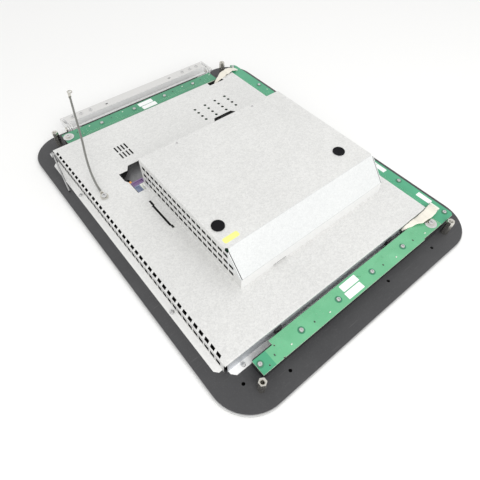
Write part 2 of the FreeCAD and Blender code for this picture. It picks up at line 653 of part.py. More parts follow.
def power_connector():
    """Pluggable terminal block with wire entries."""
    body = block(-113.0, -104.6, 53.0, 67.2, CONNECTOR_Z, CONNECTOR_Z + 7.4)
    wire_entries = [post(-109.0, y, CONNECTOR_Z + 3, CONNECTOR_Z + 8, 1.3) for y in (56, 60, 64)]
    return cut_all(body, wire_entries)


def mainboard():
    """Processor board in the cover, on four spacers that are part of the board assembly."""
    z = MAINBOARD_Z
    board = block(-95, 112, -128, 46, z, z + PCB_T)
    for x in (-88, 105):
        for y in (-121, 39):
            board = board.fuse(post(x, y, TRAY_TOP, z, 3.0))
    for index in range(4):
        x = 70 + 9 * index
        board = board.fuse(block(x, x + 5, -100, 30, z + PCB_T, z + 9.0))
    return board


def heat_sink():
    """Finned heat sink on the processor."""
    half = SINK_SIDE / 2
    fin = 1.4
    x0 = FAN_CENTRE[0] - half
    y0 = FAN_CENTRE[1] - half
    body = block(x0, x0 + SINK_SIDE, y0, y0 + SINK_SIDE, SINK_Z, SINK_Z + SINK_BASE)
    for index in range(SINK_FINS):
        x = x0 + (SINK_SIDE - fin) / (SINK_FINS - 1) * index
        body = body.fuse(block(x, x + fin, y0, y0 + SINK_SIDE, SINK_Z + SINK_BASE, SINK_Z + SINK_H))
    return body


def fan_frame():
    """Square fan frame on the heat sink, with a hub plate, a fixed axle and four struts."""
    x, y = FAN_CENTRE
    half = FAN_SIDE / 2
    strut_h = 1.4
    body = rounded_block(x - half, x + half, y - half, y + half, FAN_Z, FAN_Z + FAN_H, 4.0)
    body = body.cut(post(x, y, FAN_Z - 1, FAN_Z + FAN_H + 1, FAN_DUCT_R))
    body = body.fuse(post(x, y, FAN_Z, FAN_Z + strut_h, FAN_HUB_R))
    body = body.fuse(post(x, y, FAN_Z, FAN_Z + 8.0, FAN_AXLE_R))
    for angle in (45, 135, 225, 315):
        strut = block(FAN_HUB_R - 1, FAN_DUCT_R + 0.5, -1.2, 1.2, FAN_Z, FAN_Z + strut_h)
        strut.rotate(V(0, 0, 0), V(0, 0, 1), angle)
        strut.translate(V(x, y, 0))
        body = body.fuse(strut)
    return body


def fan_rotor():
    """Hub with seven pitched blades, turning on the fan's axle."""
    x, y = FAN_CENTRE
    z0 = FAN_Z + 2.4
    z1 = FAN_Z + FAN_H - 0.8
    body = post(x, y, z0, z1, FAN_HUB_R)
    for index in range(7):
        blade = block(FAN_HUB_R - 1, FAN_BLADE_R, -0.6, 0.6, -3.6, 3.6)
        blade.rotate(V(0, 0, 0), V(1, 0, 0), 38)
        blade.rotate(V(0, 0, 0), V(0, 0, 1), 360 / 7 * index)
        blade.translate(V(x, y, (z0 + z1) / 2))
        body = body.fuse(blade)
    body = body.common(post(x, y, z0, z1, FAN_BLADE_R))
    return body.cut(post(x, y, z0 - 1, FAN_Z + 8.6, FAN_AXLE_R + 0.06))


def storage_drive():
    """Solid-state drive in its bay beside the processor."""
    return rounded_block(-90, -30, -30, 40, TRAY_TOP + 12.0, TRAY_TOP + 19.0, 2.5)


def drive_bracket():
    """Bent bracket that holds the drive above the processor board."""
    z = MAINBOARD_Z + PCB_T
    body = block(-92, -28, -32, 42, z + 3.2, z + 4.4)
    for x0 in (-92, -29.2):
        body = body.fuse(block(x0, x0 + 1.2, -32, 42, z, z + 3.2))
    return body


# ---------------------------------------------------------------- key boards
def strip_right(side):
    return STRIP_RIGHT if side < 0 else FAR_STRIP_RIGHT


def key_board_strip(side):
    """Near (-1) or far (+1) key board; the near one has a step and a notch at its left end."""
    inner = STRIP_INNER_Y
    outer = STRIP_OUTER_Y
    right = strip_right(side)
    step_x = -123.7
    step_y = inner + 5.8
    if side < 0:
        outline = [(STRIP_LEFT, step_y), (step_x, step_y), (step_x, inner), (right, inner),
                   (right, outer - NEAR_STEP[1]), (NEAR_STEP[0], outer - NEAR_STEP[1]),
                   (NEAR_STEP[0], outer), (step_x + 2, outer), (step_x + 2, outer - 1.2),
                   (step_x, outer - 1.2), (step_x, outer), (STRIP_LEFT, outer)]
    else:
        outline = [(STRIP_LEFT, inner), (right, inner), (right, outer), (STRIP_LEFT, outer)]
    board = prism([(x, side * y) for x, y in outline], BOARD_Z0, BOARD_Z1)
    tools = [post(x, y, BOARD_Z0 - 1, BOARD_Z1 + 1, SCREW_PASS_R) for x, y in strip_screw_places(side)]
    tools.append(post(-139.5, side * (outer - 4), BOARD_Z0 - 1, BOARD_Z1 + 1, 0.9))
    tools.append(post(-122.5, side * (inner + 7.5), BOARD_Z0 - 1, BOARD_Z1 + 1, 0.9))
    return cut_all(board, tools)


def side_far_end(inset):
    """Narrow far end of the side board, from its outer to its inner edge."""
    outer_x = SIDE_OUTER_X - inset
    inner_x = SIDE_INNER_X + inset
    tip_y = STRIP_OUTER_Y - 4.7 - inset
    return [(outer_x, tip_y - 8.5), (outer_x - 2.0, tip_y - 3.0), (outer_x - 5.5, tip_y),
            (outer_x - 8.5, tip_y), (outer_x - 10.0, tip_y - 8.0),
            (inner_x + 7.0, STRIP_INNER_Y + 6.5 - inset), (inner_x, STRIP_INNER_Y - inset)]


def side_key_board():
    """Key board along the +X side, with a foot at its near end and a narrow far end."""
    foot_x = STRIP_RIGHT + 0.7
    outer = STRIP_OUTER_Y - NEAR_STEP[1]
    outline = [(SIDE_INNER_X, -STRIP_INNER_Y), (foot_x, -STRIP_INNER_Y), (foot_x, -outer),
               (SIDE_OUTER_X - 3.5, -outer), (SIDE_OUTER_X, -outer + 3.5)] + side_far_end(0)
    board = prism(outline, BOARD_Z0, BOARD_Z1)
    tools = [post(x, y, BOARD_Z0 - 1, BOARD_Z1 + 1, SCREW_PASS_R) for x, y in side_screw_places()]
    return cut_all(board, tools)


def side_screw_places():
    corner = [(SIDE_SCREW_X, side * STRIP_SCREW_Y) for side in (-1, 1)]
    return [(SIDE_SCREW_X, y) for y in SIDE_SCREWS_Y] + corner


def strip_screw_places(side):
    """Screws of a strip; one end carries the large earth washer."""
    if side < 0:
        return [(x, -STRIP_SCREW_Y) for x in STRIP_SCREWS_X]
    return [(x, STRIP_SCREW_Y) for x in (EARTH_SCREW_X[1], *STRIP_SCREWS_X[1:5])]


def carrier(outline, keys, screws):
    """Black moulded carrier under a key board, with a chamber for every key."""
    body = prism(outline, PLATE_TOP, BOARD_Z0)
    tools = [block(x - 7, x + 7, y - 7, y + 7, PLATE_TOP - 1, BOARD_Z0 + 1) for x, y in keys]
    tools += [post(x, y, BOARD_Z0 - 11, BOARD_Z0 + 1, SCREW_HOLE_R) for x, y in screws]
    return cut_all(body, tools)


def strip_key_carrier(side):
    near_edge = STRIP_INNER_Y + 4.2
    far_edge = STRIP_OUTER_Y - 1.2
    right = strip_right(side) - 1.5
    corners = [(STRIP_LEFT + 1.5, near_edge), (right, near_edge), (right, far_edge),
               (STRIP_LEFT + 1.5, far_edge)]
    keys = [(x, side * STRIP_MID_Y) for x in STRIP_KEYS_X]
    return carrier([(x, side * y) for x, y in corners], keys, strip_screw_places(side))


def side_key_carrier():
    x0 = SIDE_INNER_X + 0.3
    x1 = SIDE_OUTER_X - 0.7
    foot_x = STRIP_RIGHT + 1.5
    near_edge = STRIP_INNER_Y + 5.0
    far_edge = STRIP_OUTER_Y - 2.4
    foot = [(x0, near_edge), (foot_x, near_edge), (foot_x, far_edge), (x1 - 6, far_edge), (x1, far_edge - 6)]
    outline = [(x, -y) for x, y in foot] + side_far_end(0.7)
    return carrier(outline, [(SIDE_MID_X, y) for y in SIDE_KEYS_Y], side_screw_places())


def board_screws():
    """Screws of all three key boards, without the two that carry a large washer."""
    places = strip_screw_places(-1) + strip_screw_places(1) + side_screw_places()
    return group([pan_screw(x, y, BOARD_Z1, 9.0) for x, y in places if (x, y) not in EARTH_PLACES])


def earth_screws():
    """Screws with large washers that earth the near and the far board."""
    solids = []
    washer_top = BOARD_Z1 + 1.0
    for x, y in EARTH_PLACES:
        washer = post(x, y, BOARD_Z1, washer_top, EARTH_WASHER_R)
        solids.append(washer.fuse(pan_screw(x, y, washer_top, 9.0, head_r=3.6, head_h=2.2)))
    return group(solids)


def board_labels():
    """Blank white labels on the boards."""
    z0 = BOARD_Z1
    z1 = BOARD_Z1 + 0.15
    solids = []
    for side in (-1, 1):
        for x, y in ((-7.8, 213.0), (-9.6, 223.0)):
            solids.append(block(x - 12.7, x + 12.7, side * y - 4.3, side * y + 4.3, z0, z1))
    solids += [block(165.7, 173.4, y - 10.5, y + 10.5, z0, z1) for y in (-188.0, -113.0)]
    return group(solids)


def key_switches():
    """Tactile switches on the underside of the boards, one behind every key."""
    solids = []
    for _, x, y, _, _ in key_places():
        base = block(x - 5, x + 5, y - 5, y + 5, BOARD_Z0 - SWITCH_H + 1.0, BOARD_Z0)
        solids.append(base.fuse(post(x, y, BOARD_Z0 - SWITCH_H, BOARD_Z0 - SWITCH_H + 1.0, 2.5)))
    return group(solids)


def front_key(x, y, size_x, size_y):
    """Key cap in the bezel, with the plunger and the collar that keeps it in the plate."""
    cap_top = KEY_RECESS + KEY_CAP_T
    cap = rounded_block(x - size_x / 2, x + size_x / 2, y - size_y / 2, y + size_y / 2,
                        KEY_RECESS, cap_top, 2.0)
    cap = cap.makeFillet(0.6, [e for e in cap.Edges if e.BoundBox.ZMax < KEY_RECESS + 1e-6])
    half = PLUNGER / 2
    plunger_end = BOARD_Z0 - SWITCH_H - KEY_TRAVEL - 0.3
    plunger = block(x - half, x + half, y - half, y + half, cap_top, plunger_end)
    collar_z = PLATE_TOP + 0.2
    half = COLLAR / 2
    collar = block(x - half, x + half, y - half, y + half, collar_z, collar_z + COLLAR_T)
    return cap.fuse(plunger).fuse(collar)


# ---------------------------------------------------------------- cables
def near_flex_cable():
    """Flat cable out of the tray's near wall, spreading over the boards' corner to its plug."""
    wall = -TRAY_HALF_Y
    z = BOARD_Z1 + 3.2
    thickness = 0.4
    left = 104.5
    narrow = 6.5
    end = 164.7
    flat = prism([(left, wall - 1.0), (left, wall - 3.0), (109.0, wall - 4.8), (119.2, wall - 7.9),
                  (130.1, wall - 13.5), (145.2, wall - 14.1), (157.0, wall - 12.8), (end, wall - 10.6),
                  (end, wall + 1.2), (154.8, wall + 1.2), (154.4, wall - 1.0)], z, z + thickness)
    entry_z = 20.0
    drop = block(left, left + narrow, wall - 2.6, wall - 2.2, entry_z, z)
    entry = block(left, left + narrow, wall - 2.6, wall + 3.0, entry_z, entry_z + thickness)
    tail = block(end, end + thickness, wall - 10.6, wall + 1.2, BOARD_Z1 + 2.0, z + thickness)
    plug = block(end + thickness, end + 3.0, wall - 11.4, wall + 2.0, BOARD_Z1, BOARD_Z1 + 2.6)
    return flat.fuse(drop).fuse(entry).fuse(tail).fuse(plug)


def far_flex_cable():
    """Flat cable from the notch in the tray's far edge, low over the corner, to the side board."""
    start = V(113.0, 197.0, 24.0)
    end = V(165.5, 209.0, BOARD_Z1 + 1.0)
    half_w = 5.0
    crown_z = 34.0
    lift = V(0, 0, 0.5)
    crown = V((start.x + end.x) / 2, (start.y + end.y) / 2, crown_z)
    along = V(end.x - start.x, end.y - start.y, 0).normalize()
    across = V(-along.y, along.x, 0)
    edges = [Part.Arc(start, crown, end).toShape(), Part.makeLine(end, end + lift),
             Part.Arc(end + lift, crown + lift, start + lift).toShape(), Part.makeLine(start + lift, start)]
    cable = Part.Face(Part.Wire(edges))
    cable.translate(across * -half_w)
    cable = cable.extrude(across * (2 * half_w))
    plug = block(-1.0, 2.0, -half_w - 0.5, half_w + 0.5, BOARD_Z1, BOARD_Z1 + 2.6)
    plug.rotate(V(0, 0, 0), V(0, 0, 1), math.degrees(math.atan2(along.y, along.x)))
    plug.translate(V(end.x, end.y, 0))
    return cable.fuse(plug)


# ---------------------------------------------------------------- hinge along the far edge
def hinge_bracket(side):
    """Foot on the mounting plate, pointing inwards, with an upright lug for the pin."""
    lug_x0 = HINGE_X - HINGE_SHEET / 2
    lug_x1 = lug_x0 + HINGE_SHEET
    foot_end, foot_near, foot_far = BRACKET_FOOT
    foot = block(foot_end, lug_x1, foot_near, foot_far, PLATE_TOP, PLATE_TOP + HINGE_SHEET)
    corners = [e for e in foot.Edges if abs(e.Vertexes[0].Z - e.Vertexes[-1].Z) > 1e-6
               and e.Vertexes[0].X < foot_end + 1]
    foot = foot.makeFillet(5.0, corners)
    lug = block(lug_x0, lug_x1, HINGE_Y - 6.0, HINGE_Y + 6.0, PLATE_TOP, HINGE_Z)
    lug = lug.fuse(rod_x(lug_x0, lug_x1, HINGE_Y, HINGE_Z, 6.0))
    body = foot.fuse(lug)
    tools = [post(BRACKET_SCREW_X, HINGE_Y, PLATE_TOP - 1, PLATE_TOP + 3, SCREW_PASS_R),
             rod_x(lug_x0 - 1, lug_x1 + 1, HINGE_Y, HINGE_Z, HINGE_PIN_R + 0.03)]
    body = cut_all(body, tools)
    return body if side > 0 else body.mirror(V(0, 0, 0), V(1, 0, 0))


def hinge_pins():
    """One headed pin at each end."""
    inner = HINGE_X - HINGE_SHEET * 1.5 - ARM_GAP
    outer = HINGE_X + HINGE_SHEET * 1.5 + ARM_GAP
    solids = []
    for side in (-1, 1):
        pin = rod_x(inner - 1.0, outer + 0.4, HINGE_Y, HINGE_Z, HINGE_PIN_R)
        pin = pin.fuse(rod_x(outer + 0.4, outer + 2.0, HINGE_Y, HINGE_Z, 3.4))
        solids.append(pin if side > 0 else pin.mirror(V(0, 0, 0), V(1, 0, 0)))
    return group(solids)


def fork_arm(x0):
    """Arm from the pin to the bar."""
    low = HINGE_BAR_TOP - HINGE_BAR_H
    eye = rod_x(x0, x0 + HINGE_SHEET, HINGE_Y, HINGE_Z, 5.0)
    arm = profile_along_x([(HINGE_Y, low), (HINGE_BAR_FAR, low), (HINGE_BAR_FAR, HINGE_BAR_TOP),
                           (HINGE_Y, HINGE_BAR_TOP)], x0, x0 + HINGE_SHEET)
    hole = rod_x(x0 - 1, x0 + HINGE_SHEET + 1, HINGE_Y, HINGE_Z, HINGE_PIN_R + 0.08)
    return eye.fuse(arm).cut(hole)


def hinge_bar():
    """Channel between two forks; it is the fixed leaf that the panel swings on."""
    low = HINGE_BAR_TOP - HINGE_BAR_H
    inner_arm = HINGE_X - HINGE_SHEET * 1.5 - ARM_GAP
    outer_arm = HINGE_X + HINGE_SHEET * 0.5 + ARM_GAP
    half = inner_arm + HINGE_SHEET
    wall = 1.5
    body = block(-half, half, HINGE_BAR_NEAR, HINGE_BAR_FAR, low, HINGE_BAR_TOP)
    body = body.cut(block(-inner_arm, inner_arm, HINGE_BAR_NEAR + wall, HINGE_BAR_FAR - wall,
                          low - 1, HINGE_BAR_TOP - wall))
    for arm_x in (inner_arm, outer_arm):
        arm = fork_arm(arm_x)
        body = body.fuse(arm).fuse(arm.mirror(V(0, 0, 0), V(1, 0, 0)))
    bridge = block(inner_arm, outer_arm + HINGE_SHEET, HINGE_BAR_FAR - HINGE_SHEET, HINGE_BAR_FAR,
                   low, HINGE_BAR_TOP)
    body = body.fuse(bridge).fuse(bridge.mirror(V(0, 0, 0), V(1, 0, 0)))
    middle = (HINGE_BAR_NEAR + HINGE_BAR_FAR) / 2
    holes = [(x, SCREW_PASS_R) for x in BAR_SCREWS_X] + [(BAR_MOUNT_X, BAR_MOUNT_R)]
    tools = [post(side * x, middle, HINGE_BAR_TOP - 3, HINGE_BAR_TOP + 1, radius)
             for side in (-1, 1) for x, radius in holes]
    return cut_all(body, tools).removeSplitter()


def hinge_bar_screws():
    """Screws that join the channel to the inner plates of its forks."""
    y = (HINGE_BAR_NEAR + HINGE_BAR_FAR) / 2
    return group([pan_screw(side * x, y, HINGE_BAR_TOP, 8.0) for side in (-1, 1) for x in BAR_SCREWS_X])


# ---------------------------------------------------------------- lanyard and stay rod
def lanyard_rope():
    """Steel rope from the crimp on the tray up to the crimp at its free end."""
    curve = Part.BSplineCurve()
    curve.interpolate(ROPE_PATH)
    spine = Part.Wire(curve.toShape())
    start = curve.value(curve.FirstParameter)
    direction = curve.tangent(curve.FirstParameter)[0]
    section = Part.Wire(Part.makeCircle(ROPE_R, start, direction))
    return spine.makePipeShell([section], True, True)


def eye_terminal(hole_r):
    """Ring terminal lying flat, with a tongue pointing along +Y."""
    ring = post(0, 0, 0, 1.2, 5.2)
    tongue = block(-2.2, 2.2, 3.0, 7.0, 0, 1.2)
    return ring.fuse(tongue).cut(post(0, 0, -1, 3, hole_r))


def lanyard_eyes():
    """Ring terminals with crimp sleeves at both ends of the rope."""
    lower = eye_terminal(SCREW_R + 0.08)
    lower.translate(V(LANYARD_X, LANYARD_Y, TRAY_TOP + EYE_LIFT))
    crimp = Part.makeCylinder(1.8, 2.5, V(LANYARD_X, LANYARD_Y + 5.8, ROPE_Z), V(0, 1, 0))
    lower = lower.fuse(crimp)
    return group([lower, free_eye()])


def free_eye():
    """Crimp sleeve at the rope's free end that runs into a level M4 ring."""
    direction = (ROPE_PATH[-1] - ROPE_PATH[-2]).normalize()
    x, y, z = FREE_EYE
    sleeve_r, sleeve_length = FREE_SLEEVE
    sleeve = Part.makeCylinder(sleeve_r, sleeve_length, ROPE_PATH[-1] + direction * 0.05, direction)
    sleeve = sleeve.cut(post(x, y, z - 8, z + 4, FREE_EYE_HOLE_R + 0.4))
    ring = post(x, y, z - FREE_EYE_T / 2, z + FREE_EYE_T / 2, FREE_EYE_R)
    return ring.cut(post(x, y, z - 1, z + 1, FREE_EYE_HOLE_R)).fuse(sleeve)


def lanyard_screw():
    return pan_screw(LANYARD_X, LANYARD_Y, TRAY_TOP + 1.6, 6.0, head_r=3.6, head_h=2.2)


def stay_rod():
    """Wire stay with an eye at the pivot; its free end rests just above the mounting plate."""
    eye = rod_x(STAY_X - STAY_WIRE_R, STAY_X + STAY_WIRE_R, STAY_Y, STAY_Z, 3.6)
    eye = eye.cut(rod_x(STAY_X - 3, STAY_X + 3, STAY_Y, STAY_Z, SCREW_R + 0.08))
    start = V(STAY_X, STAY_Y - 2.4, STAY_Z)
    end = V(*STAY_TIP, PLATE_TOP + STAY_WIRE_R + 0.4)
    direction = end - start
    wire = Part.makeCylinder(STAY_WIRE_R, direction.Length, start, direction)
    return eye.fuse(wire.cut(rod_x(STAY_X - 3, STAY_X + 3, STAY_Y, STAY_Z, 2.4)))


def stay_pivot_screw():
    """Shoulder screw through the stay's eye into the tray's wall."""
    x_head = STAY_X - STAY_WIRE_R - 0.3
    head = rod_x(x_head - 1.8, x_head, STAY_Y, STAY_Z, 3.0)
    return head.fuse(rod_x(x_head, TRAY_LEFT + 4.0, STAY_Y, STAY_Z, SCREW_R))


# ---------------------------------------------------------------- build
os.makedirs("parts", exist_ok=True)

save("front_bezel", front_bezel())
save("touch_glass", touch_glass())
save("glass_tape", glass_tape())
save("display_module", display_module())
save("mounting_plate", mounting_plate())
save("corner_standoffs", corner_standoffs())

save("tray", tray())
save("plate_screws", plate_screws())
save("wall_clips", wall_clips())
save("service_cover", service_cover())
save("cover_screws", cover_screws())
save("port_plugs", port_plugs())
save("cover_label", cover_label())

save("inner_chassis", inner_chassis())
save("backlight_driver", backlight_driver())
save("touch_controller", touch_controller())
save("serial_connector", serial_connector())
save("video_connector", video_connector())
save("power_connector", power_connector())
save("mainboard", mainboard())
save("heat_sink", heat_sink())
save("fan_frame", fan_frame())
save("fan_rotor", fan_rotor())
save("storage_drive", storage_drive())
save("drive_bracket", drive_bracket())

save("near_key_board", key_board_strip(-1))
save("far_key_board", key_board_strip(1))
save("side_key_board", side_key_board())
save("near_key_carrier", strip_key_carrier(-1))
save("far_key_carrier", strip_key_carrier(1))
save("side_key_carrier", side_key_carrier())
save("board_screws", board_screws())
save("earth_screws", earth_screws())
save("board_labels", board_labels())
save("key_switches", key_switches())
for key_name, key_x, key_y, key_size_x, key_size_y in key_places():
    save(key_name, front_key(key_x, key_y, key_size_x, key_size_y))

save("near_flex_cable", near_flex_cable())
save("far_flex_cable", far_flex_cable())

save("hinge_bracket_left", hinge_bracket(-1))
save("hinge_bracket_right", hinge_bracket(1))
save("hinge_pins", hinge_pins())
save("hinge_bar", hinge_bar())
save("hinge_bar_screws", hinge_bar_screws())

save("lanyard_rope", lanyard_rope())
save("lanyard_eyes", lanyard_eyes())
save("lanyard_screw", lanyard_screw())
save("stay_rod", stay_rod())
save("stay_pivot_screw", stay_pivot_screw())
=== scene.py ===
"""Looks of the HMI touch panel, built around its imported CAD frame.

The panel lies on its front face: +Z points out of its rear and Y runs along its long side.
All lengths here are metres, in the frame of the CAD model.
"""

import json
import math
import random

import bmesh
import bpy
from mathutils import Matrix, Vector


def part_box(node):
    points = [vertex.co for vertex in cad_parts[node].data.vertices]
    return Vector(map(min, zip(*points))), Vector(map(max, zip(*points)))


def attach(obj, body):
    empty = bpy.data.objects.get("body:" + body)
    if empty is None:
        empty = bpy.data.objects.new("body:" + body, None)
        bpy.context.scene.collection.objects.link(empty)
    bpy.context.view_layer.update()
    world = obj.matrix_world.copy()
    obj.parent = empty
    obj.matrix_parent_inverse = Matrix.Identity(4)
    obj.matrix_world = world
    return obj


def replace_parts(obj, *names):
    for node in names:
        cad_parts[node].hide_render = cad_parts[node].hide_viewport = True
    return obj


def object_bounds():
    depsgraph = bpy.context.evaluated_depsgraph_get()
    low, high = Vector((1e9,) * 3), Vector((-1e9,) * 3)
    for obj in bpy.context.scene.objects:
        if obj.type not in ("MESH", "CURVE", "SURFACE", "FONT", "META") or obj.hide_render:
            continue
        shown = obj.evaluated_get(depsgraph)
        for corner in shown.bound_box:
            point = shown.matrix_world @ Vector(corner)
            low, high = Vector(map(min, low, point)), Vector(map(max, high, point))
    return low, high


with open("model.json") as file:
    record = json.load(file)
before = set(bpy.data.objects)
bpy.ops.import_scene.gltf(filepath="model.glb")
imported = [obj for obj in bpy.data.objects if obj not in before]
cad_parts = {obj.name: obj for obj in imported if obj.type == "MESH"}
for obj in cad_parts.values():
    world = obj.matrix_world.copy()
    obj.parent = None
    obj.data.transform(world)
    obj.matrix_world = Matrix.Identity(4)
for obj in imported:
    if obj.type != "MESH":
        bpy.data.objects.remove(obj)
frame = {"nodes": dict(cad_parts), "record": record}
cad_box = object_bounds()

MM = 0.001
TAU = 2 * math.pi
NODES = frame["nodes"]
BODY_OF = {node: body for body, nodes in frame["record"]["behaviour"]["bodies"].items() for node in nodes}


# ------------------------------------------------------------------ places taken from the frame
def low(node):
    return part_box(node)[0]


def high(node):
    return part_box(node)[1]


PLATE_Z = high("mounting_plate").z
BOARD_Z = high("near_key_board").z
TRAY_Z = high("tray").z
COVER_Z = high("service_cover").z
FLANGE = 8.2 * MM           # width of the tray's flange
NEAR_WALL_Y = low("tray").y + FLANGE
SHEET_MIDDLE = 0.5 * MM     # half the thickness of the galvanised sheet
EDGE = 0.08 * MM            # just inside an outer face
WALL = 1.2 * MM             # just beyond the sheet's thickness
BEND = 1.7 * MM             # just beyond its bends
BEND_R = 1.6 * MM           # outside radius of its bends
BEZEL_FLOOR = 2.4 * MM      # just below the bezel's blind holes
FOLD_LINE = 0.35 * MM       # half the width of the painted shade line along a fold
SLOPE_RUN = 25.6 * MM       # the cover's sloping face, along Y and along Z
SLOPE_DROP = 30.0 * MM
FAR_CABLE_TURN = math.atan2(12.0, 52.5)
FAR_CABLE_LENGTH = math.hypot(12.0, 52.5) * MM
CABLE_THICK = 0.32 * MM
SHANK_R = 1.45 * MM         # radius of the small screws' shanks
COPPER = 0.06 * MM          # height of the tracks over a board
SHARP_ABOVE = math.radians(35)


# ------------------------------------------------------------------ shader helper
MATERIALS = {}


def grey(level):
    return (level, level, level)


class Shader:
    """One Principled material, listed by its name, with short calls for its textures."""

    def __init__(self, name, metallic=0.0, roughness=0.5, **inputs):
        self.material = MATERIALS[name] = bpy.data.materials.new(name)
        self.material.use_nodes = True
        self.tree = self.material.node_tree
        self.body = self.tree.nodes["Principled BSDF"]
        self.coords = self.add("ShaderNodeTexCoord").outputs["Object"]
        parts = self.add("ShaderNodeSeparateXYZ")
        self.feed(parts.inputs["Vector"], self.coords)
        self.x, self.y, self.z = parts.outputs
        self.matt = 0.0
        self.put("Metallic", metallic)
        self.put("Roughness", roughness)
        for key, value in inputs.items():
            self.put(key.replace("_", " "), value)

    def add(self, kind, **settings):
        node = self.tree.nodes.new(kind)
        for key, value in settings.items():
            setattr(node, key, value)
        return node

    def feed(self, socket, value):
        """Link an output, or set a plain value."""
        if isinstance(value, bpy.types.NodeSocket):
            self.tree.links.new(value, socket)
        elif isinstance(value, (tuple, list)) and len(value) == 3 and len(socket.default_value) == 4:
            socket.default_value = (*value, 1.0)
        else:
            socket.default_value = value

    def put(self, name, value):
        self.feed(self.body.inputs[name], value)

    def stretched(self, scale, turn=0.0):
        """Object coordinates, turned about Z and scaled along each axis."""
        mapping = self.add("ShaderNodeMapping")
        self.feed(mapping.inputs["Vector"], self.coords)
        mapping.inputs["Rotation"].default_value = (0, 0, turn)
        mapping.inputs["Scale"].default_value = scale
        return mapping.outputs["Vector"]

    def noise(self, scale, detail, roughness=0.5, vector=None, distortion=0.0):
        node = self.add("ShaderNodeTexNoise")
        self.feed(node.inputs["Vector"], vector or self.coords)
        node.inputs["Scale"].default_value = scale
        node.inputs["Detail"].default_value = detail
        node.inputs["Roughness"].default_value = roughness
        node.inputs["Distortion"].default_value = distortion
        return node.outputs["Fac"]

    def cells(self, scale):
        """Voronoi cells with a random value in each."""
        node = self.add("ShaderNodeTexVoronoi")
        self.feed(node.inputs["Vector"], self.coords)
        node.inputs["Scale"].default_value = scale
        parts = self.add("ShaderNodeSeparateColor")
        self.feed(parts.inputs["Color"], node.outputs["Color"])
        return parts.outputs["Red"]

    def stripes(self, scale, axis, vector=None):
        """Even bands across one axis."""
        node = self.add("ShaderNodeTexWave", wave_type="BANDS", bands_direction=axis, wave_profile="SIN")
        self.feed(node.inputs["Vector"], vector or self.coords)
        node.inputs["Scale"].default_value = scale
        return node.outputs["Fac"]

    def ramp(self, value, *stops):
        """Colour or grey ramp; each stop is (place, colour or grey)."""
        node = self.add("ShaderNodeValToRGB")
        self.feed(node.inputs["Fac"], value)
        band = node.color_ramp.elements
        while len(band) < len(stops):
            band.new(0.5)
        for element, (place, tint) in zip(band, stops):
            element.position = place
            element.color = (*tint, 1.0) if isinstance(tint, tuple) else (tint, tint, tint, 1.0)
        return node.outputs["Color"]

    def math(self, operation, first, second=0.0):
        node = self.add("ShaderNodeMath", operation=operation)
        for socket, value in zip(node.inputs, (first, second)):
            self.feed(socket, value)
        return node.outputs["Value"]

    def times(self, first, second):
        return self.math("MULTIPLY", first, second)

    def plus(self, first, second):
        return self.math("ADD", first, second)

    def minus(self, first, second):
        return self.math("SUBTRACT", first, second)

    def below(self, value, limit):
        return self.math("LESS_THAN", value, limit)

    def above(self, value, limit):
        return self.math("GREATER_THAN", value, limit)

    def away(self, value, middle):
        """Distance of a value from a middle one."""
        return self.math("ABSOLUTE", self.minus(value, middle))

    def base(self, colour):
        self.put("Base Color", colour)

    def rough(self, value, spread, start):
        """Roughness that varies with a texture."""
        self.put("Roughness", self.plus(self.times(value, spread), start))

    def mix(self, share, first, second):
        node = self.add("ShaderNodeMix", data_type="RGBA")
        self.feed(node.inputs["Factor"], share)
        for socket, value in zip([s for s in node.inputs if s.type == "RGBA"], (first, second)):
            self.feed(socket, value)
        return [s for s in node.outputs if s.type == "RGBA"][0]

    def facing_up(self):
        """1 on faces that look along Z, 0 on upright ones."""
        geometry = self.add("ShaderNodeNewGeometry")
        parts = self.add("ShaderNodeSeparateXYZ")
        self.feed(parts.inputs["Vector"], geometry.outputs["True Normal"])
        return self.math("ABSOLUTE", parts.outputs["Z"])

    def bump(self, height, strength, distance, under=None):
        node = self.add("ShaderNodeBump")
        node.inputs["Strength"].default_value = strength
        node.inputs["Distance"].default_value = distance
        self.feed(node.inputs["Height"], height)
        if under is not None:
            self.feed(node.inputs["Normal"], under)
        self.put("Normal", node.outputs["Normal"])
        return node.outputs["Normal"]


# ------------------------------------------------------------------ materials
def between(s, value, lowest, highest):
    """1 where a value lies between two limits."""
    return s.times(s.above(value, lowest), s.below(value, highest))


def either(s, first, second):
    return s.math("MAXIMUM", first, second)


def both(s, first, *others):
    for other in others:
        first = s.times(first, other)
    return first


def tray_inner_shade(s):
    """1 on the inner faces of the tray and on the cut edges of its slots, where painted shade turns them near
    black.
    """
    lowest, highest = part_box("tray")
    wall_x = lowest.x + FLANGE
    far_y = highest.y - FLANGE
    x = between(s, s.x, wall_x + SHEET_MIDDLE, highest.x - SHEET_MIDDLE)
    y = between(s, s.y, NEAR_WALL_Y + SHEET_MIDDLE, far_y - SHEET_MIDDLE)
    z = s.below(s.z, highest.z - SHEET_MIDDLE)
    wall = between(s, s.x, wall_x + EDGE, wall_x + WALL)
    wall_height = between(s, s.z, PLATE_Z + WALL, highest.z - BEND)
    length = between(s, s.y, NEAR_WALL_Y + WALL, far_y - WALL)
    top = between(s, s.x, wall_x + BEND_R, wall_x + 3 * BEND_R)
    top_height = between(s, s.z, highest.z - WALL, highest.z - EDGE)
    from_x = s.away(s.x, wall_x + BEND_R)
    from_z = s.away(s.z, highest.z - BEND_R)
    reach = s.math("SQRT", s.plus(s.math("POWER", from_x, 2.0), s.math("POWER", from_z, 2.0)))
    bend = s.below(reach, BEND_R - EDGE)
    wall_slots = both(s, wall, wall_height, length)
    top_slots = both(s, either(s, both(s, top, top_height), bend), length)
    slots = either(s, wall_slots, top_slots)
    return either(s, both(s, x, y, z), slots)


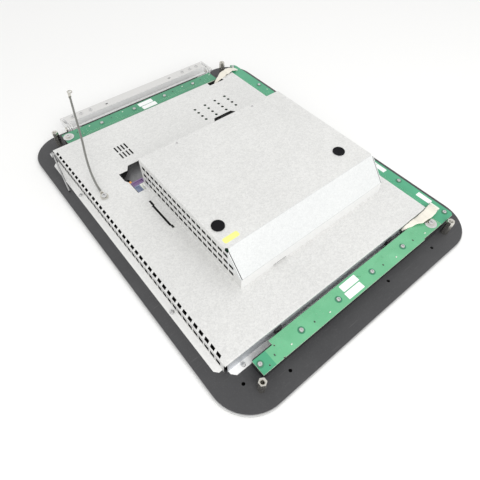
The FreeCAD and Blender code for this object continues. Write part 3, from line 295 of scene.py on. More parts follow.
def cover_inner_shade(s):
    """1 on the inner faces of the cover, also below its sloping face, and on its slots' edges, where painted
    shade turns them near black.
    """
    lowest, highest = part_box("service_cover")
    x = between(s, s.x, lowest.x + SHEET_MIDDLE, highest.x - SHEET_MIDDLE)
    y = between(s, s.y, lowest.y + SHEET_MIDDLE, highest.y - SHEET_MIDDLE)
    run = s.minus(s.y, lowest.y)
    step_z = highest.z - SLOPE_DROP - 1.5 * SHEET_MIDDLE
    slope = s.plus(s.times(run, SLOPE_DROP / SLOPE_RUN), step_z)
    roof = s.math("MINIMUM", slope, highest.z - SHEET_MIDDLE)
    z = s.below(s.z, roof)
    left = between(s, s.x, lowest.x + EDGE, lowest.x + WALL)
    right = between(s, s.x, highest.x - WALL, highest.x - EDGE)
    length = between(s, s.y, lowest.y + WALL, highest.y - WALL)
    below_bend = s.below(s.z, s.minus(roof, WALL))
    slots = both(s, either(s, left, right), length, below_bend)
    return either(s, both(s, x, y, z), slots)


def bezel_inner_shade(s):
    """1 on the bezel's hidden inner zone, below the mounting plate, where painted shade turns it near black.
    """
    lowest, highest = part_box("mounting_plate")
    margin = 6 * MM
    corner_cut = 36 * MM
    x = between(s, s.x, lowest.x + margin, highest.x - margin)
    y = between(s, s.y, lowest.y + margin, highest.y - margin)
    from_middle = s.plus(s.math("ABSOLUTE", s.x), s.math("ABSOLUTE", s.y))
    corners = s.below(from_middle, highest.x + highest.y - corner_cut)
    return both(s, x, y, corners, s.above(s.z, BEZEL_FLOOR))


def bezel_painted_shade(s, base):
    """Darker towards the bezel's lower edge: painted shade on its chamfer."""
    return s.mix(s.ramp(s.math("DIVIDE", s.z, PLATE_Z), (0.15, 0.75), (0.6, 0.0)), base,
                 grey(0.30))


def tray_painted_light(s, base):
    """Near and left flange painted bright as painted light, and the near wall painted darker towards its top
    as painted shade.
    """
    height = s.z
    beside = s.below(s.y, NEAR_WALL_Y + EDGE)
    left = s.below(s.x, low("tray").x + FLANGE + EDGE)
    flange = both(s, either(s, beside, left), s.below(height, PLATE_Z + WALL))
    s.matt = flange
    wall = both(s, beside, between(s, height, PLATE_Z + WALL, TRAY_Z - SHEET_MIDDLE))
    share = s.math("DIVIDE", s.minus(height, PLATE_Z), TRAY_Z - PLATE_Z)
    # Painted shade on the near wall, darkest at its top.
    tint = s.ramp(share, (0.15, (0.64, 0.67, 0.72)), (0.85, (0.46, 0.49, 0.53)))
    base = s.mix(s.times(wall, 0.8), base, tint)
    # Painted light on the flanges.
    flange_light = s.mix(left, (0.99, 0.99, 0.985), (0.84, 0.84, 0.83))
    return s.mix(s.times(flange, 0.85), base, flange_light)


def cover_painted_light(s, base):
    """Painted light and shade: a bluish painted reflection of the sky on the sloping face, a painted
    highlight on the step below it and a thin grey line of painted shade along each fold.
    """
    lowest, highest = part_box("service_cover")
    y, z = s.y, s.z
    step_z = highest.z - SLOPE_DROP
    fold_y = lowest.y + SLOPE_RUN
    slope = both(s, s.below(y, fold_y), s.above(z, step_z))
    step = both(s, s.below(y, lowest.y + EDGE), s.below(z, step_z))
    upper_line = between(s, y, fold_y - FOLD_LINE, fold_y + FOLD_LINE)
    lower_line = between(s, z, step_z - FOLD_LINE, step_z + FOLD_LINE)
    near_part = s.below(y, lowest.y + WALL)
    base = s.mix(s.times(slope, 0.4), base, (0.86, 0.89, 0.91))
    base = s.mix(s.times(step, 0.7), base, grey(0.95))
    lower_line = both(s, lower_line, near_part)
    fold_shade = either(s, s.times(upper_line, 0.22), s.times(lower_line, 0.4))
    return s.mix(fold_shade, base, (0.45, 0.46, 0.47))


def bar_painted_shade(s, base):
    """Level faces of the hinge parts painted greyer than their upright ones: painted shade."""
    level = s.above(s.facing_up(), 0.7)
    return s.mix(s.times(level, 0.8), base, (0.64, 0.635, 0.62))


def shaded(s, base, metallic, inside, painted_shading):
    """Base colour with its painted light and shade, turned black and dull as painted shade where the surface
    is hidden.
    """
    # Painted light and shade from the callback, if any.
    if painted_shading is not None:
        base = painted_shading(s, base)
    if inside is not None:
        hidden = inside(s)
        # Hidden faces painted near black: painted shade.
        base = s.mix(hidden, base, grey(0.012))
        shown = s.minus(1.0, hidden)
        shine = s.times(shown, s.minus(1.0, s.matt))
        s.put("Metallic", s.times(shine, metallic))
        s.put("Specular IOR Level", s.times(shown, 0.5))
    return base


def galvanised(name, dark, light, metallic=0.5, inside=None, painted_shading=None):
    """Galvanised sheet with faint fine crystals and smudges; its inner faces, where a mask marks them, are
    painted near black as painted shade.
    """
    s = Shader(name, metallic=metallic)
    crystals = s.cells(420.0)
    grains = s.cells(1134.0)
    cloud = s.noise(7.0, detail=4.0, roughness=0.6)
    blend = s.plus(s.times(crystals, 0.26), s.times(grains, 0.36))
    blend = s.plus(blend, s.times(cloud, 0.6))
    base = s.ramp(blend, (0.25, dark), (0.95, light))
    smudge = s.noise(22.0, detail=6.0, roughness=0.7, distortion=0.6)
    base = s.mix(s.ramp(smudge, (0.58, 0.0), (0.80, 0.22)), base, tuple(0.9 * c for c in dark))
    s.base(shaded(s, base, metallic, inside, painted_shading))
    s.rough(blend, 0.16, 0.37)
    waves = s.bump(s.noise(14.0, detail=2.0), 0.06, 4 * MM)
    s.bump(blend, 0.06, 0.2 * MM, under=waves)


def powder_coat(name, dark, light):
    """Matt powder coat with a fine orange peel, light dust and a few hairline scratches."""
    s = Shader(name, IOR=1.45)
    peel = s.noise(1500.0, detail=2.0)
    cloud = s.noise(10.0, detail=5.0, roughness=0.65)
    base = s.ramp(cloud, (0.3, dark), (0.75, light))
    grains = s.cells(2600.0)
    base = s.mix(s.ramp(grains, (0.93, 0.0), (1.0, 0.25)), base, grey(0.22))
    hairs = s.noise(40.0, detail=1.0, vector=s.stretched((1.0, 34.0, 1.0), turn=0.6))
    hairs = s.ramp(hairs, (0.705, 0.0), (0.73, 0.3))
    base = s.mix(hairs, base, grey(0.16))
    s.base(base)
    s.rough(cloud, 0.18, 0.41)
    s.bump(peel, 0.22, 0.08 * MM)


def satin_metal(name, dark, light, roughness, brushed=None, metallic=1.0, inside=None, painted_shading=None):
    """Plated or anodised metal with faint handling marks; brushed gives the grain's stretch."""
    s = Shader(name, metallic=metallic)
    cloud = s.noise(60.0, detail=5.0, roughness=0.65)
    vector = s.stretched(brushed) if brushed else None
    grain = s.noise(900.0, detail=3.0, vector=vector)
    blend = s.plus(s.times(cloud, 0.6), s.times(grain, 0.4))
    base = s.ramp(blend, (0.3, dark), (0.7, light))
    s.base(shaded(s, base, metallic, inside, painted_shading))
    s.rough(cloud, 0.2, roughness - 0.1)
    s.bump(grain, 0.15, 0.05 * MM)


def moulded(name, dark, light, roughness, level=0.5):
    """Injection-moulded plastic or rubber with an eroded fine texture; level is its shine."""
    s = Shader(name, Specular_IOR_Level=level)
    cloud = s.noise(45.0, detail=4.0, roughness=0.6)
    s.base(s.ramp(cloud, (0.3, dark), (0.7, light)))
    s.rough(cloud, 0.2, roughness - 0.1)
    s.bump(s.noise(2400.0, detail=2.0), 0.2, 0.06 * MM)


def solder_mask(name, dark, light, tab=None):
    """Solder mask over copper planes and glass fibre; the sawn edges show the pale fibre."""
    s = Shader(name, roughness=0.32, Coat_Weight=0.35, Coat_Roughness=0.2)
    cloud = s.noise(26.0, detail=4.0, roughness=0.6)
    weave_x = s.stripes(520.0, "X")
    weave_y = s.stripes(520.0, "Y")
    weave = s.times(weave_x, weave_y)
    base = s.ramp(cloud, (0.25, dark), (0.75, light))
    base = s.mix(s.times(weave, 0.10), base, tuple(0.7 * c for c in dark))
    planes = s.cells(34.0)
    base = s.mix(s.ramp(planes, (0.35, 0.0), (0.36, 0.12)), base, tuple(0.75 * c for c in dark))
    if tab is not None:
        tab_edge, tab_colour = tab
        left = s.below(s.x, tab_edge)
        base = s.mix(s.times(left, 0.85), base, tab_colour)
    flat = s.above(s.facing_up(), 0.7)
    base = s.mix(flat, (0.62, 0.74, 0.58), base)
    s.base(base)
    s.rough(cloud, 0.16, 0.26)
    s.bump(weave, 0.06, 0.05 * MM)


def paper(name, dark, light):
    """Matt label film, slightly creased."""
    s = Shader(name, roughness=0.6)
    fibres = s.noise(900.0, detail=4.0, vector=s.stretched((1.0, 3.0, 1.0), turn=0.5))
    stain = s.noise(70.0, detail=3.0)
    blend = s.plus(s.times(fibres, 0.4), s.times(stain, 0.6))
    s.base(s.ramp(blend, (0.3, dark), (0.6, light)))
    s.rough(fibres, 0.2, 0.5)
    creases = s.bump(s.noise(120.0, detail=2.0), 0.2, 0.3 * MM)
    s.bump(fibres, 0.15, 0.05 * MM, under=creases)


def flat_cable(name, turn):
    """Cream polyester film over parallel tinned conductors, which show through as faint bands."""
    s = Shader(name, roughness=0.35, Coat_Weight=0.2)
    across = s.stripes(300.0, "Y", vector=s.stretched((1.0, 1.0, 1.0), turn=turn))
    film = s.noise(50.0, detail=3.0)
    base = s.ramp(film, (0.3, (0.79, 0.75, 0.66)), (0.7, (0.86, 0.82, 0.73)))
    base = s.mix(s.ramp(across, (0.35, 0.0), (0.65, 0.3)), base, (0.68, 0.65, 0.55))
    s.base(base)
    s.rough(film, 0.15, 0.3)
    s.bump(across, 0.35, 0.08 * MM)


def display_glass(name):
    """Touch glass: gloss black print around a slightly greyer, less glossy picture area."""
    s = Shader(name, roughness=0.06, Coat_Weight=0.5, Coat_Roughness=0.03, IOR=1.5)
    lowest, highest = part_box("touch_glass")
    centre = (lowest + highest) / 2
    half = (highest - lowest) / 2
    border = Vector((16 * MM, 14.5 * MM))
    from_x = s.away(s.x, centre.x)
    from_y = s.away(s.y, centre.y)
    inside = s.times(s.below(from_x, half.x - border.x),
                    s.below(from_y, half.y - border.y))
    film = s.noise(12.0, detail=4.0)
    picture = s.ramp(film, (0.3, (0.016, 0.020, 0.022)), (0.7, (0.024, 0.029, 0.031)))
    s.base(s.mix(inside, (0.004, 0.004, 0.005), picture))
    smears = s.noise(30.0, detail=6.0, roughness=0.7, distortion=1.2)
    s.put("Roughness", s.plus(s.times(smears, 0.12), s.times(inside, 0.05)))


def make_materials():
    """Every material, named by the record's slot where it has one."""
    tab_green = (0.045, 0.33, 0.175)
    tab_edge = low("near_key_board").x + 17 * MM
    zinc_dark = (0.70, 0.70, 0.69)
    zinc_light = (0.90, 0.90, 0.885)
    satin_metal("bezel_aluminium", grey(0.66), grey(0.74), 0.42, inside=bezel_inner_shade, painted_shading=bezel_painted_shade)
    display_glass("front_glass")
    moulded("black_foam", (0.012, 0.012, 0.013), (0.025, 0.025, 0.026), 0.9)
    # Display frame painted near black as painted shade, for the dark seen through the vents.
    satin_metal("display_frame", grey(0.03), grey(0.05), 0.4)
    powder_coat("black_plate", (0.050, 0.050, 0.053), (0.068, 0.068, 0.071))
    satin_metal("zinc_steel", (0.62, 0.60, 0.55), (0.78, 0.76, 0.70), 0.26)
    galvanised("galvanised_sheet", zinc_dark, zinc_light)
    galvanised("tray_sheet", zinc_dark, zinc_light, inside=tray_inner_shade, painted_shading=tray_painted_light)
    galvanised("cover_sheet", zinc_dark, zinc_light, inside=cover_inner_shade, painted_shading=cover_painted_light)
    satin_metal("screw_steel", grey(0.66), grey(0.84), 0.22)
    satin_metal("washer_zinc", (0.26, 0.29, 0.27), (0.38, 0.42, 0.39), 0.3)
    moulded("black_plastic", (0.014, 0.014, 0.016), (0.028, 0.028, 0.03), 0.45)
    moulded("black_rubber", (0.003, 0.003, 0.004), (0.006, 0.006, 0.008), 0.7, level=0.2)
    paper("yellow_label", (0.80, 0.81, 0.20), (0.88, 0.89, 0.28))
    paper("white_label", (0.86, 0.88, 0.87), (0.93, 0.94, 0.94))
    satin_metal("dark_sheet", (0.16, 0.16, 0.17), grey(0.30), 0.42, metallic=0.5)
    solder_mask("green_board", (0.11, 0.42, 0.21), (0.17, 0.51, 0.28), (tab_edge, tab_green))
    solder_mask("side_board", (0.05, 0.34, 0.18), (0.08, 0.42, 0.23))
    solder_mask("far_board", (0.045, 0.27, 0.14), (0.065, 0.33, 0.175))
    satin_metal("mask_shadow", (0.035, 0.21, 0.11), (0.06, 0.28, 0.155), 0.4, metallic=0.0)
    moulded("purple_plastic", (0.20, 0.13, 0.27), (0.27, 0.18, 0.34), 0.4)
    moulded("blue_plastic", (0.20, 0.24, 0.36), (0.27, 0.31, 0.43), 0.4)
    moulded("pale_plastic", (0.74, 0.77, 0.69), (0.82, 0.84, 0.77), 0.4)
    moulded("orange_plastic", (0.80, 0.30, 0.05), (0.88, 0.38, 0.08), 0.4)
    satin_metal("sink_aluminium", (0.5, 0.51, 0.53), (0.6, 0.61, 0.63), 0.35, brushed=(1.0, 12.0, 1.0))
    moulded("fan_plastic", (0.02, 0.02, 0.024), (0.035, 0.035, 0.04), 0.4)
    satin_metal("drive_case", (0.22, 0.23, 0.25), (0.3, 0.31, 0.33), 0.4)
    moulded("switch_plastic", grey(0.05), grey(0.08), 0.5)
    flat_cable("flex_film", 0.0)
    flat_cable("far_flex_film", -FAR_CABLE_TURN)
    galvanised("hinge_steel", grey(0.90), grey(0.96), metallic=0.1, painted_shading=bar_painted_shade)
    satin_metal("rope_steel", (0.30, 0.30, 0.28), (0.42, 0.42, 0.40), 0.34)
    satin_metal("stay_wire", grey(0.42), grey(0.56), 0.2)
    moulded("key_plastic", (0.50, 0.51, 0.52), (0.57, 0.58, 0.59), 0.45)
    satin_metal("covered_pad", (0.16, 0.46, 0.26), (0.24, 0.56, 0.34), 0.34, metallic=0.2)


make_materials()


# ------------------------------------------------------------------ mesh helpers
def link(piece):
    bpy.context.scene.collection.objects.link(piece)


class Sketch:
    """Points and faces of one piece, gathered and then made into an object."""

    def __init__(self):
        self.points = []
        self.faces = []
        self.slots = []

    def add(self, points, faces, slot=0):
        start = len(self.points)
        self.points += [Vector(p) for p in points]
        self.faces += [[start + i for i in face] for face in faces]
        self.slots += [slot] * len(faces)

    def rings(self, rings, slot=0, cap_start=True, cap_end=True):
        """Skin closed rings that all have the same number of points."""
        count = len(rings[0])
        points = [p for ring in rings for p in ring]
        faces = []
        for r in range(len(rings) - 1):
            for i in range(count):
                j = (i + 1) % count
                faces.append([r * count + i, r * count + j, (r + 1) * count + j, (r + 1) * count + i])
        if cap_start:
            faces.append(list(reversed(range(count))))
        if cap_end:
            faces.append([(len(rings) - 1) * count + i for i in range(count)])
        self.add(points, faces, slot)

    def turned(self, centre, profile, slot=0, steps=32, **caps):
        """Rings round an upright axis, each given as (radius, height)."""
        self.rings([circle(centre, radius, z, steps) for radius, z in profile], slot, **caps)

    def box(self, lowest, highest, chamfer=0.0, slot=0):
        """Box with chamfered upright edges and a chamfered top."""
        (x0, y0, z0), (x1, y1, z1) = lowest, highest
        c = chamfer or min(x1 - x0, y1 - y0) * 0.02
        self.rings([outline(x0, x1, y0, y1, c, z0), outline(x0, x1, y0, y1, c, z1 - c),
                    outline(x0 + c, x1 - c, y0 + c, y1 - c, c * 0.5, z1)], slot)

    def make(self, name, slots, body, smooth_below=38.0):
        """The object, with its material slots, riding on a CAD body."""
        mesh = bpy.data.meshes.new(name)
        mesh.from_pydata([tuple(p) for p in self.points], [], self.faces)
        for slot in slots:
            mesh.materials.append(MATERIALS[slot])
        mesh.polygons.foreach_set("material_index", self.slots)
        finish_mesh(mesh, smooth_below)
        piece = bpy.data.objects.new(name, mesh)
        link(piece)
        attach(piece, body)
        return piece

    def replace(self, node, name, slots, smooth_below=38.0):
        """The object, shown in place of a CAD node."""
        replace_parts(self.make(name, slots, BODY_OF[node], smooth_below), node)


def finish_mesh(mesh, smooth_below):
    """Face the same way all round and shade smooth below an angle."""
    work = bmesh.new()
    work.from_mesh(mesh)
    bmesh.ops.recalc_face_normals(work, faces=work.faces)
    work.to_mesh(mesh)
    work.free()
    mesh.shade_smooth()
    mesh.set_sharp_from_angle(angle=math.radians(smooth_below))
    mesh.update()


def outline(x0, x1, y0, y1, radius, z, steps=1):
    """Ring round a rectangle with rounded or, at one step, cut corners."""
    ring = []
    corners = ((x1 - radius, y0 + radius, -90), (x1 - radius, y1 - radius, 0),
               (x0 + radius, y1 - radius, 90), (x0 + radius, y0 + radius, 180))
    for x, y, start in corners:
        for i in range(steps + 1):
            a = math.radians(start + 90 * i / steps)
            ring.append(Vector((x + radius * math.cos(a), y + radius * math.sin(a), z)))
    return ring


def circle(centre, radius, z, steps):
    """Level ring; radius may be a function of the angle."""
    ring = []
    for i in range(steps):
        a = TAU * i / steps
        r = radius(a) if callable(radius) else radius
        ring.append(Vector((centre[0] + r * math.cos(a), centre[1] + r * math.sin(a), z)))
    return ring


def sweep(path, radius, sides, turns=0.0, offset=0.0, phase=0.0):
    """Rings along a path, optionally winding round it at a distance, as a strand does."""
    rings = []
    tangent = (path[1] - path[0]).normalized()
    side = tangent.orthogonal().normalized()
    for i, point in enumerate(path):
        ahead = path[min(i + 1, len(path) - 1)] - path[max(i - 1, 0)]
        fresh = ahead.normalized()
        side = (tangent.rotation_difference(fresh) @ side).normalized()
        tangent = fresh
        other = tangent.cross(side)
        wind = phase + TAU * turns * i / (len(path) - 1)
        centre = point + offset * (math.cos(wind) * side + math.sin(wind) * other)
        rings.append([centre + radius * (math.cos(TAU * k / sides) * side + math.sin(TAU * k / sides) * other)
                      for k in range(sides)])
    return rings


def softened(node, width, slot=None):
    """A copy of a CAD node with merged flat faces and small rounded edges, shown in its place."""
    slot = slot or record_slot(node)
    work = bmesh.new()
    work.from_mesh(NODES[node].data)
    bmesh.ops.remove_doubles(work, verts=work.verts, dist=0.001 * MM)
    bmesh.ops.dissolve_limit(work, angle_limit=math.radians(0.5), verts=work.verts, edges=work.edges)
    mesh = bpy.data.meshes.new("soft_" + node)
    work.to_mesh(mesh)
    work.free()
    mesh.materials.clear()
    mesh.materials.append(MATERIALS[slot])
    mesh.shade_smooth()
    mesh.set_sharp_from_angle(angle=SHARP_ABOVE)
    piece = bpy.data.objects.new("soft_" + node, mesh)
    link(piece)
    bevel = piece.modifiers.new("edges", "BEVEL")
    bevel.width = width
    bevel.segments = 2
    bevel.limit_method = "ANGLE"
    bevel.angle_limit = SHARP_ABOVE
    bevel.harden_normals = True
    bevel.use_clamp_overlap = True
    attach(piece, BODY_OF[node])
    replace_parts(piece, node)
    return piece


def record_slot(node):
    """The record's material slot of a CAD node."""
    return next(part["material_slot"] for part in frame["record"]["subparts"] if part["node"] == node)


# ------------------------------------------------------------------ CAD nodes that stay
def paint_cad_nodes():
    """Give every CAD node the procedural material of its slot."""
    special = {"side_key_board": "side_board", "far_key_board": "far_board",
               "far_flex_cable": "far_flex_film", "tray": "tray_sheet", "service_cover": "cover_sheet"}
    for node, piece in NODES.items():
        slot = special.get(node, record_slot(node))
        for place in piece.material_slots:
            place.material = MATERIALS[slot]


paint_cad_nodes()


# ------------------------------------------------------------------ screws and standoffs
def cross_recess(arm, width):
    """Radius of a cross-shaped recess as a function of the angle."""
    def radius(angle):
        a = abs((angle + math.pi / 4) % (math.pi / 2) - math.pi / 4)
        if math.tan(a) < width / arm:
            return arm / math.cos(a)
        return width / max(math.sin(a), 1e-6)
    return radius


def screw_head(sketch, x, y, seat, head_r, head_h, flange_r=0.0):
    """Domed pan head with a cross recess, and a washer of the second slot below it if asked for."""
    steps = 64
    recess = cross_recess(head_r * 0.55, head_r * 0.15)
    depth = head_h * 0.6
    top = seat + head_h

    def blend(share):
        return lambda a: recess(a) * (1 - share) + head_r * share

    rings = [circle((x, y), lambda a: 0.2 * recess(a), top - depth, steps),
             circle((x, y), lambda a: 0.8 * recess(a), top - depth, steps),
             circle((x, y), recess, top - 0.03 * head_h, steps),
             circle((x, y), lambda a: recess(a) * 1.06, top, steps)]
    for share in (0.3, 0.55, 0.75, 0.9, 0.97, 1.0):
        drop = head_h * (0.10 * share ** 2 + 0.35 * max(0.0, share - 0.7) ** 2 / 0.09)
        rings.append(circle((x, y), blend(share), top - drop, steps))
    rings.append(circle((x, y), head_r, seat, steps))
    sketch.rings(rings)
    if flange_r:
        thin = 0.2 * head_h
        sketch.turned((x, y), [(head_r * 0.9, seat + thin), (flange_r * 0.97, seat + thin),
                               (flange_r, seat + thin * 0.6), (flange_r, seat)], 1)


def solid_centres(node, keep=lambda centre: True):
    """(centre, lowest corner, highest corner) of every separate solid in a CAD node."""
    work = bmesh.new()
    work.from_mesh(NODES[node].data)
    bmesh.ops.remove_doubles(work, verts=work.verts, dist=0.001 * MM)
    seen = set()
    found = []
    for start in work.verts:
        if start in seen:
            continue
        group = [start]
        seen.add(start)
        for vert in group:
            for edge in vert.link_edges:
                other = edge.other_vert(vert)
                if other not in seen:
                    seen.add(other)
                    group.append(other)
        lowest = Vector([min(v.co[i] for v in group) for i in range(3)])
        highest = Vector([max(v.co[i] for v in group) for i in range(3)])
        found.append(((lowest + highest) / 2, lowest, highest))
    work.free()
    return [item for item in found if keep(item[0])]


def upright_screws(node, head_h=1.8 * MM, washer_share=0.0):
    """Screws of one node; with a washer, the head is smaller than the CAD's by that share."""
    sketch = Sketch()
    for centre, lowest, highest in solid_centres(node):
        full_r = (highest.x - lowest.x) / 2
        seat = highest.z - head_h
        sketch.turned(centre, [(SHANK_R, lowest.z), (SHANK_R, seat)], steps=16)
        screw_head(sketch, centre.x, centre.y, seat, full_r * (1 - washer_share), head_h,
                   full_r if washer_share else 0.0)
    sketch.replace(node, node + "_detailed", ["screw_steel", "washer_zinc"])


def earth_screws():
    """Screws on large rounded washers, with a lock washer between them."""
    sketch = Sketch()
    top = BOARD_Z + 1.0 * MM
    hole_r = 1.6 * MM
    lock_r = 5.0 * MM
    for centre, lowest, highest in solid_centres("earth_screws"):
        washer_r = (highest.x - lowest.x) / 2
        sketch.turned(centre, [(hole_r, BOARD_Z), (washer_r, BOARD_Z), (washer_r, top - 0.3 * MM),
                               (washer_r - 0.3 * MM, top), (hole_r, top), (hole_r, BOARD_Z)],
                      cap_start=False, cap_end=False)
        sketch.turned(centre, [(SHANK_R, lowest.z), (SHANK_R, top)], steps=16)
        sketch.turned(centre, [(lock_r, top), (lock_r, top + 0.35 * MM), (lock_r - 0.3 * MM, top + 0.5 * MM)],
                      1, cap_start=False)
        screw_head(sketch, centre.x, centre.y, top + 0.4 * MM, 3.2 * MM, 1.8 * MM)
    sketch.replace("earth_screws", "earth_screws_detailed", ["screw_steel", "zinc_steel"])


def standoffs():
    """Hexagon standoffs with a turned chamfer, a real internal thread and a threaded stud."""
    steps = 48
    half_flats = 4.0 * MM
    chamfer_r = 3.85 * MM
    thread_r = 2.5 * MM
    stud_r = 1.95 * MM
    pitch = 0.8 * MM
    depth = 11.5 * MM
    turns_per_pitch = 4

    def hexagon(angle):
        return half_flats / math.cos((angle + math.pi / 6) % (math.pi / 3) - math.pi / 6)

    sketch = Sketch()
    for centre, lowest, highest in solid_centres("corner_standoffs"):
        top = highest.z
        tilt = math.radians(30)

        def thread(z):
            def radius(angle):
                place = (z / pitch - angle / TAU) % 1.0
                return thread_r - 0.42 * MM * abs(2 * place - 1)
            return radius

        def chamfer_ring(side):
            ring = []
            for i in range(steps):
                a = TAU * i / steps
                r = max(hexagon(a), chamfer_r)
                drop = (r - chamfer_r) * math.tan(tilt) + 0.05 * MM
                z = top - drop if side > 0 else PLATE_Z + drop
                ring.append(Vector((centre.x + r * math.cos(a), centre.y + r * math.sin(a), z)))
            return ring

        rings = [circle(centre, 1.0 * MM, top - depth, steps)]
        levels = int(depth / pitch * turns_per_pitch)
        for i in range(levels):
            z = top - depth + (depth - 0.6 * MM) * i / (levels - 1)
            rings.append(circle(centre, thread(z), z, steps))
        rings.append(circle(centre, 2.95 * MM, top, steps))
        rings.append(circle(centre, chamfer_r, top, steps))
        rings += [chamfer_ring(1), chamfer_ring(-1), circle(centre, chamfer_r, PLATE_Z, steps)]
        sketch.rings(rings)
        sketch.turned(centre, [(stud_r, lowest.z), (stud_r, PLATE_Z)], steps=24)
    sketch.replace("corner_standoffs", "corner_standoffs_detailed", ["zinc_steel"])


# ------------------------------------------------------------------ boards
def key_boards():
    """The three key boards with soft edges, plated rings, key-matrix tracks, pads and vias."""
    for node, slot in (("near_key_board", "green_board"), ("far_key_board", "far_board"),
                       ("side_key_board", "side_board")):
        softened(node, 0.12 * MM, slot)
    board_details("near", "green_board")
    board_details("far", "far_board")
    side_details()


def screws_on(node):
    """Screw centres over one board."""
    lowest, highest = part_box(node)

    def inside(centre):
        return lowest.x < centre.x < highest.x and lowest.y < centre.y < highest.y

    return [centre for centre, _, _ in solid_centres("board_screws", inside)]


def track(sketch, points, width):
    """Flat copper track under the mask, following a bent line."""
    for start, end in zip(points, points[1:]):
        along = (Vector(end) - Vector(start)).normalized()
        side = Vector((-along.y, along.x)) * width / 2
        extra = along * width * 0.2
        base = [Vector(start) - extra - side, Vector(end) + extra - side,
                Vector(end) + extra + side, Vector(start) - extra + side]
        sketch.rings([[Vector((*p, z)) for p in base] for z in (BOARD_Z, BOARD_Z + COPPER)])


def ring_pad(sketch, x, y, inner, outer, height, slot):
    top = BOARD_Z + height
    sketch.turned((x, y), [(inner, BOARD_Z), (outer, BOARD_Z), (outer, top), (inner, top), (inner, BOARD_Z)],
                  slot, 24, cap_start=False, cap_end=False)


def lane(sketch, points, pad_r):
    """Track with a plated pad at both ends."""
    track_w = 0.45 * MM
    hole_r = 0.3 * MM
    track(sketch, points, track_w)
    for x, y in (points[0], points[-1]):
        ring_pad(sketch, x, y, hole_r, pad_r, COPPER * 1.5, 1)


def screw_pads(sketch, node):
    """Dark green ring round every screw of a board: a pad under the mask, darkened as painted shade of the
    gap round the head.
    """
    hole_r = 2.9 * MM
    rim_r = 4.3 * MM
    for screw in screws_on(node):
        ring_pad(sketch, screw.x, screw.y, hole_r, rim_r, COPPER * 1.3, 2)


def switch_pads(sketch, key, reach_x, reach_y):
    """Four pads over a key's switch; gives the key's centre."""
    hole_r = 0.35 * MM
    pad_r = 0.85 * MM
    x, y, _ = (low(key) + high(key)) / 2
    for dx in (-1, 1):
        for dy in (-1, 1):
            ring_pad(sketch, x + dx * reach_x, y + dy * reach_y, hole_r, pad_r, COPPER * 1.5, 1)
    return x, y


def chip(sketch, x, y, size_x, size_y, slot):
    """Small surface-mount part between two solder pads."""
    long_x = size_x >= size_y
    pad = 0.45 * MM
    height = 0.6 * MM
    for side in (-1, 1):
        px = x + side * size_x * 0.5 if long_x else x
        py = y if long_x else y + side * size_y * 0.5
        hx = pad if long_x else size_x * 0.55
        hy = size_y * 0.55 if long_x else pad
        sketch.box((px - hx, py - hy, BOARD_Z), (px + hx, py + hy, BOARD_Z + 0.25 * height), 0, 1)
    sketch.box((x - size_x / 2, y - size_y / 2, BOARD_Z), (x + size_x / 2, y + size_y / 2, BOARD_Z + height),
               0.1 * MM, slot)


def board_details(name, slot):
    """Tracks along a strip board, with a branch to every key, and small parts beside the screws."""
    node = name + "_key_board"
    lowest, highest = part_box(node)
    outward = -1 if name == "near" else 1
    inner = highest.y if outward < 0 else lowest.y
    sketch = Sketch()
    first_x = lowest.x + 30 * MM
    last_x = highest.x - 12 * MM
    for row in range(5):
        y = inner + outward * (2.0 + 1.1 * row) * MM
        end = last_x - row * 9 * MM
        start = first_x + row * 2.4 * MM
        bend = inner + outward * (5.5 + 1.1 * row) * MM
        mid = (start + end) / 2 + (row - 2) * 6 * MM
        jog = abs(bend - y)
        lane(sketch, [(start, y), (mid, y), (mid + jog, bend), (end, bend)], 0.75 * MM)
    screw_pads(sketch, node)
    for key in range(1, 5):
        x, y = switch_pads(sketch, f"key_{name}_{key}", 3.2 * MM, 2.2 * MM)
        outer_y = y - outward * 6.4 * MM
        track(sketch, [(x - 3.2 * MM, y - outward * 2.2 * MM), (x - 3.2 * MM, outer_y)], 0.4 * MM)
        chip(sketch, x + 10 * MM, y + outward * 6.0 * MM, 2.0 * MM, 1.2 * MM, 3)
        chip(sketch, x - 11 * MM, y + outward * 3.4 * MM, 1.2 * MM, 2.0 * MM, 4)
    sketch.make(name + "_board_copper", [slot, "covered_pad", "mask_shadow", "pale_plastic",
                                         "switch_plastic"], "panel")


def side_details():
    """Tracks, pads and parts of the side board."""
    lowest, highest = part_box("side_key_board")
    sketch = Sketch()
    inner = low("key_side_1").x
    for row in range(4):
        x = inner + (0.4 + 1.0 * row) * MM - 1.5 * MM
        y0 = lowest.y + (38 + 6 * row) * MM
        y1 = highest.y - (40 + 11 * row) * MM
        lane(sketch, [(x, y0), (x, y1)], 0.7 * MM)
    screw_pads(sketch, "side_key_board")
    for key in range(1, 6):
        x, y = switch_pads(sketch, f"key_side_{key}", 2.2 * MM, 3.2 * MM)
        chip(sketch, x + 5.5 * MM, y + 11 * MM, 1.2 * MM, 2.0 * MM, 3)
    sketch.make("side_board_copper", ["side_board", "covered_pad", "mask_shadow", "pale_plastic"], "panel")


# ------------------------------------------------------------------ labels and plugs
def labels():
    """Blank board labels and cover label: thin film with rounded, slightly lifted corners."""
    film_sheet("board_labels", "white_label", 0.8 * MM, 0.5 * MM)
    film_sheet("cover_label", "yellow_label", 2.0 * MM, 0.35 * MM)


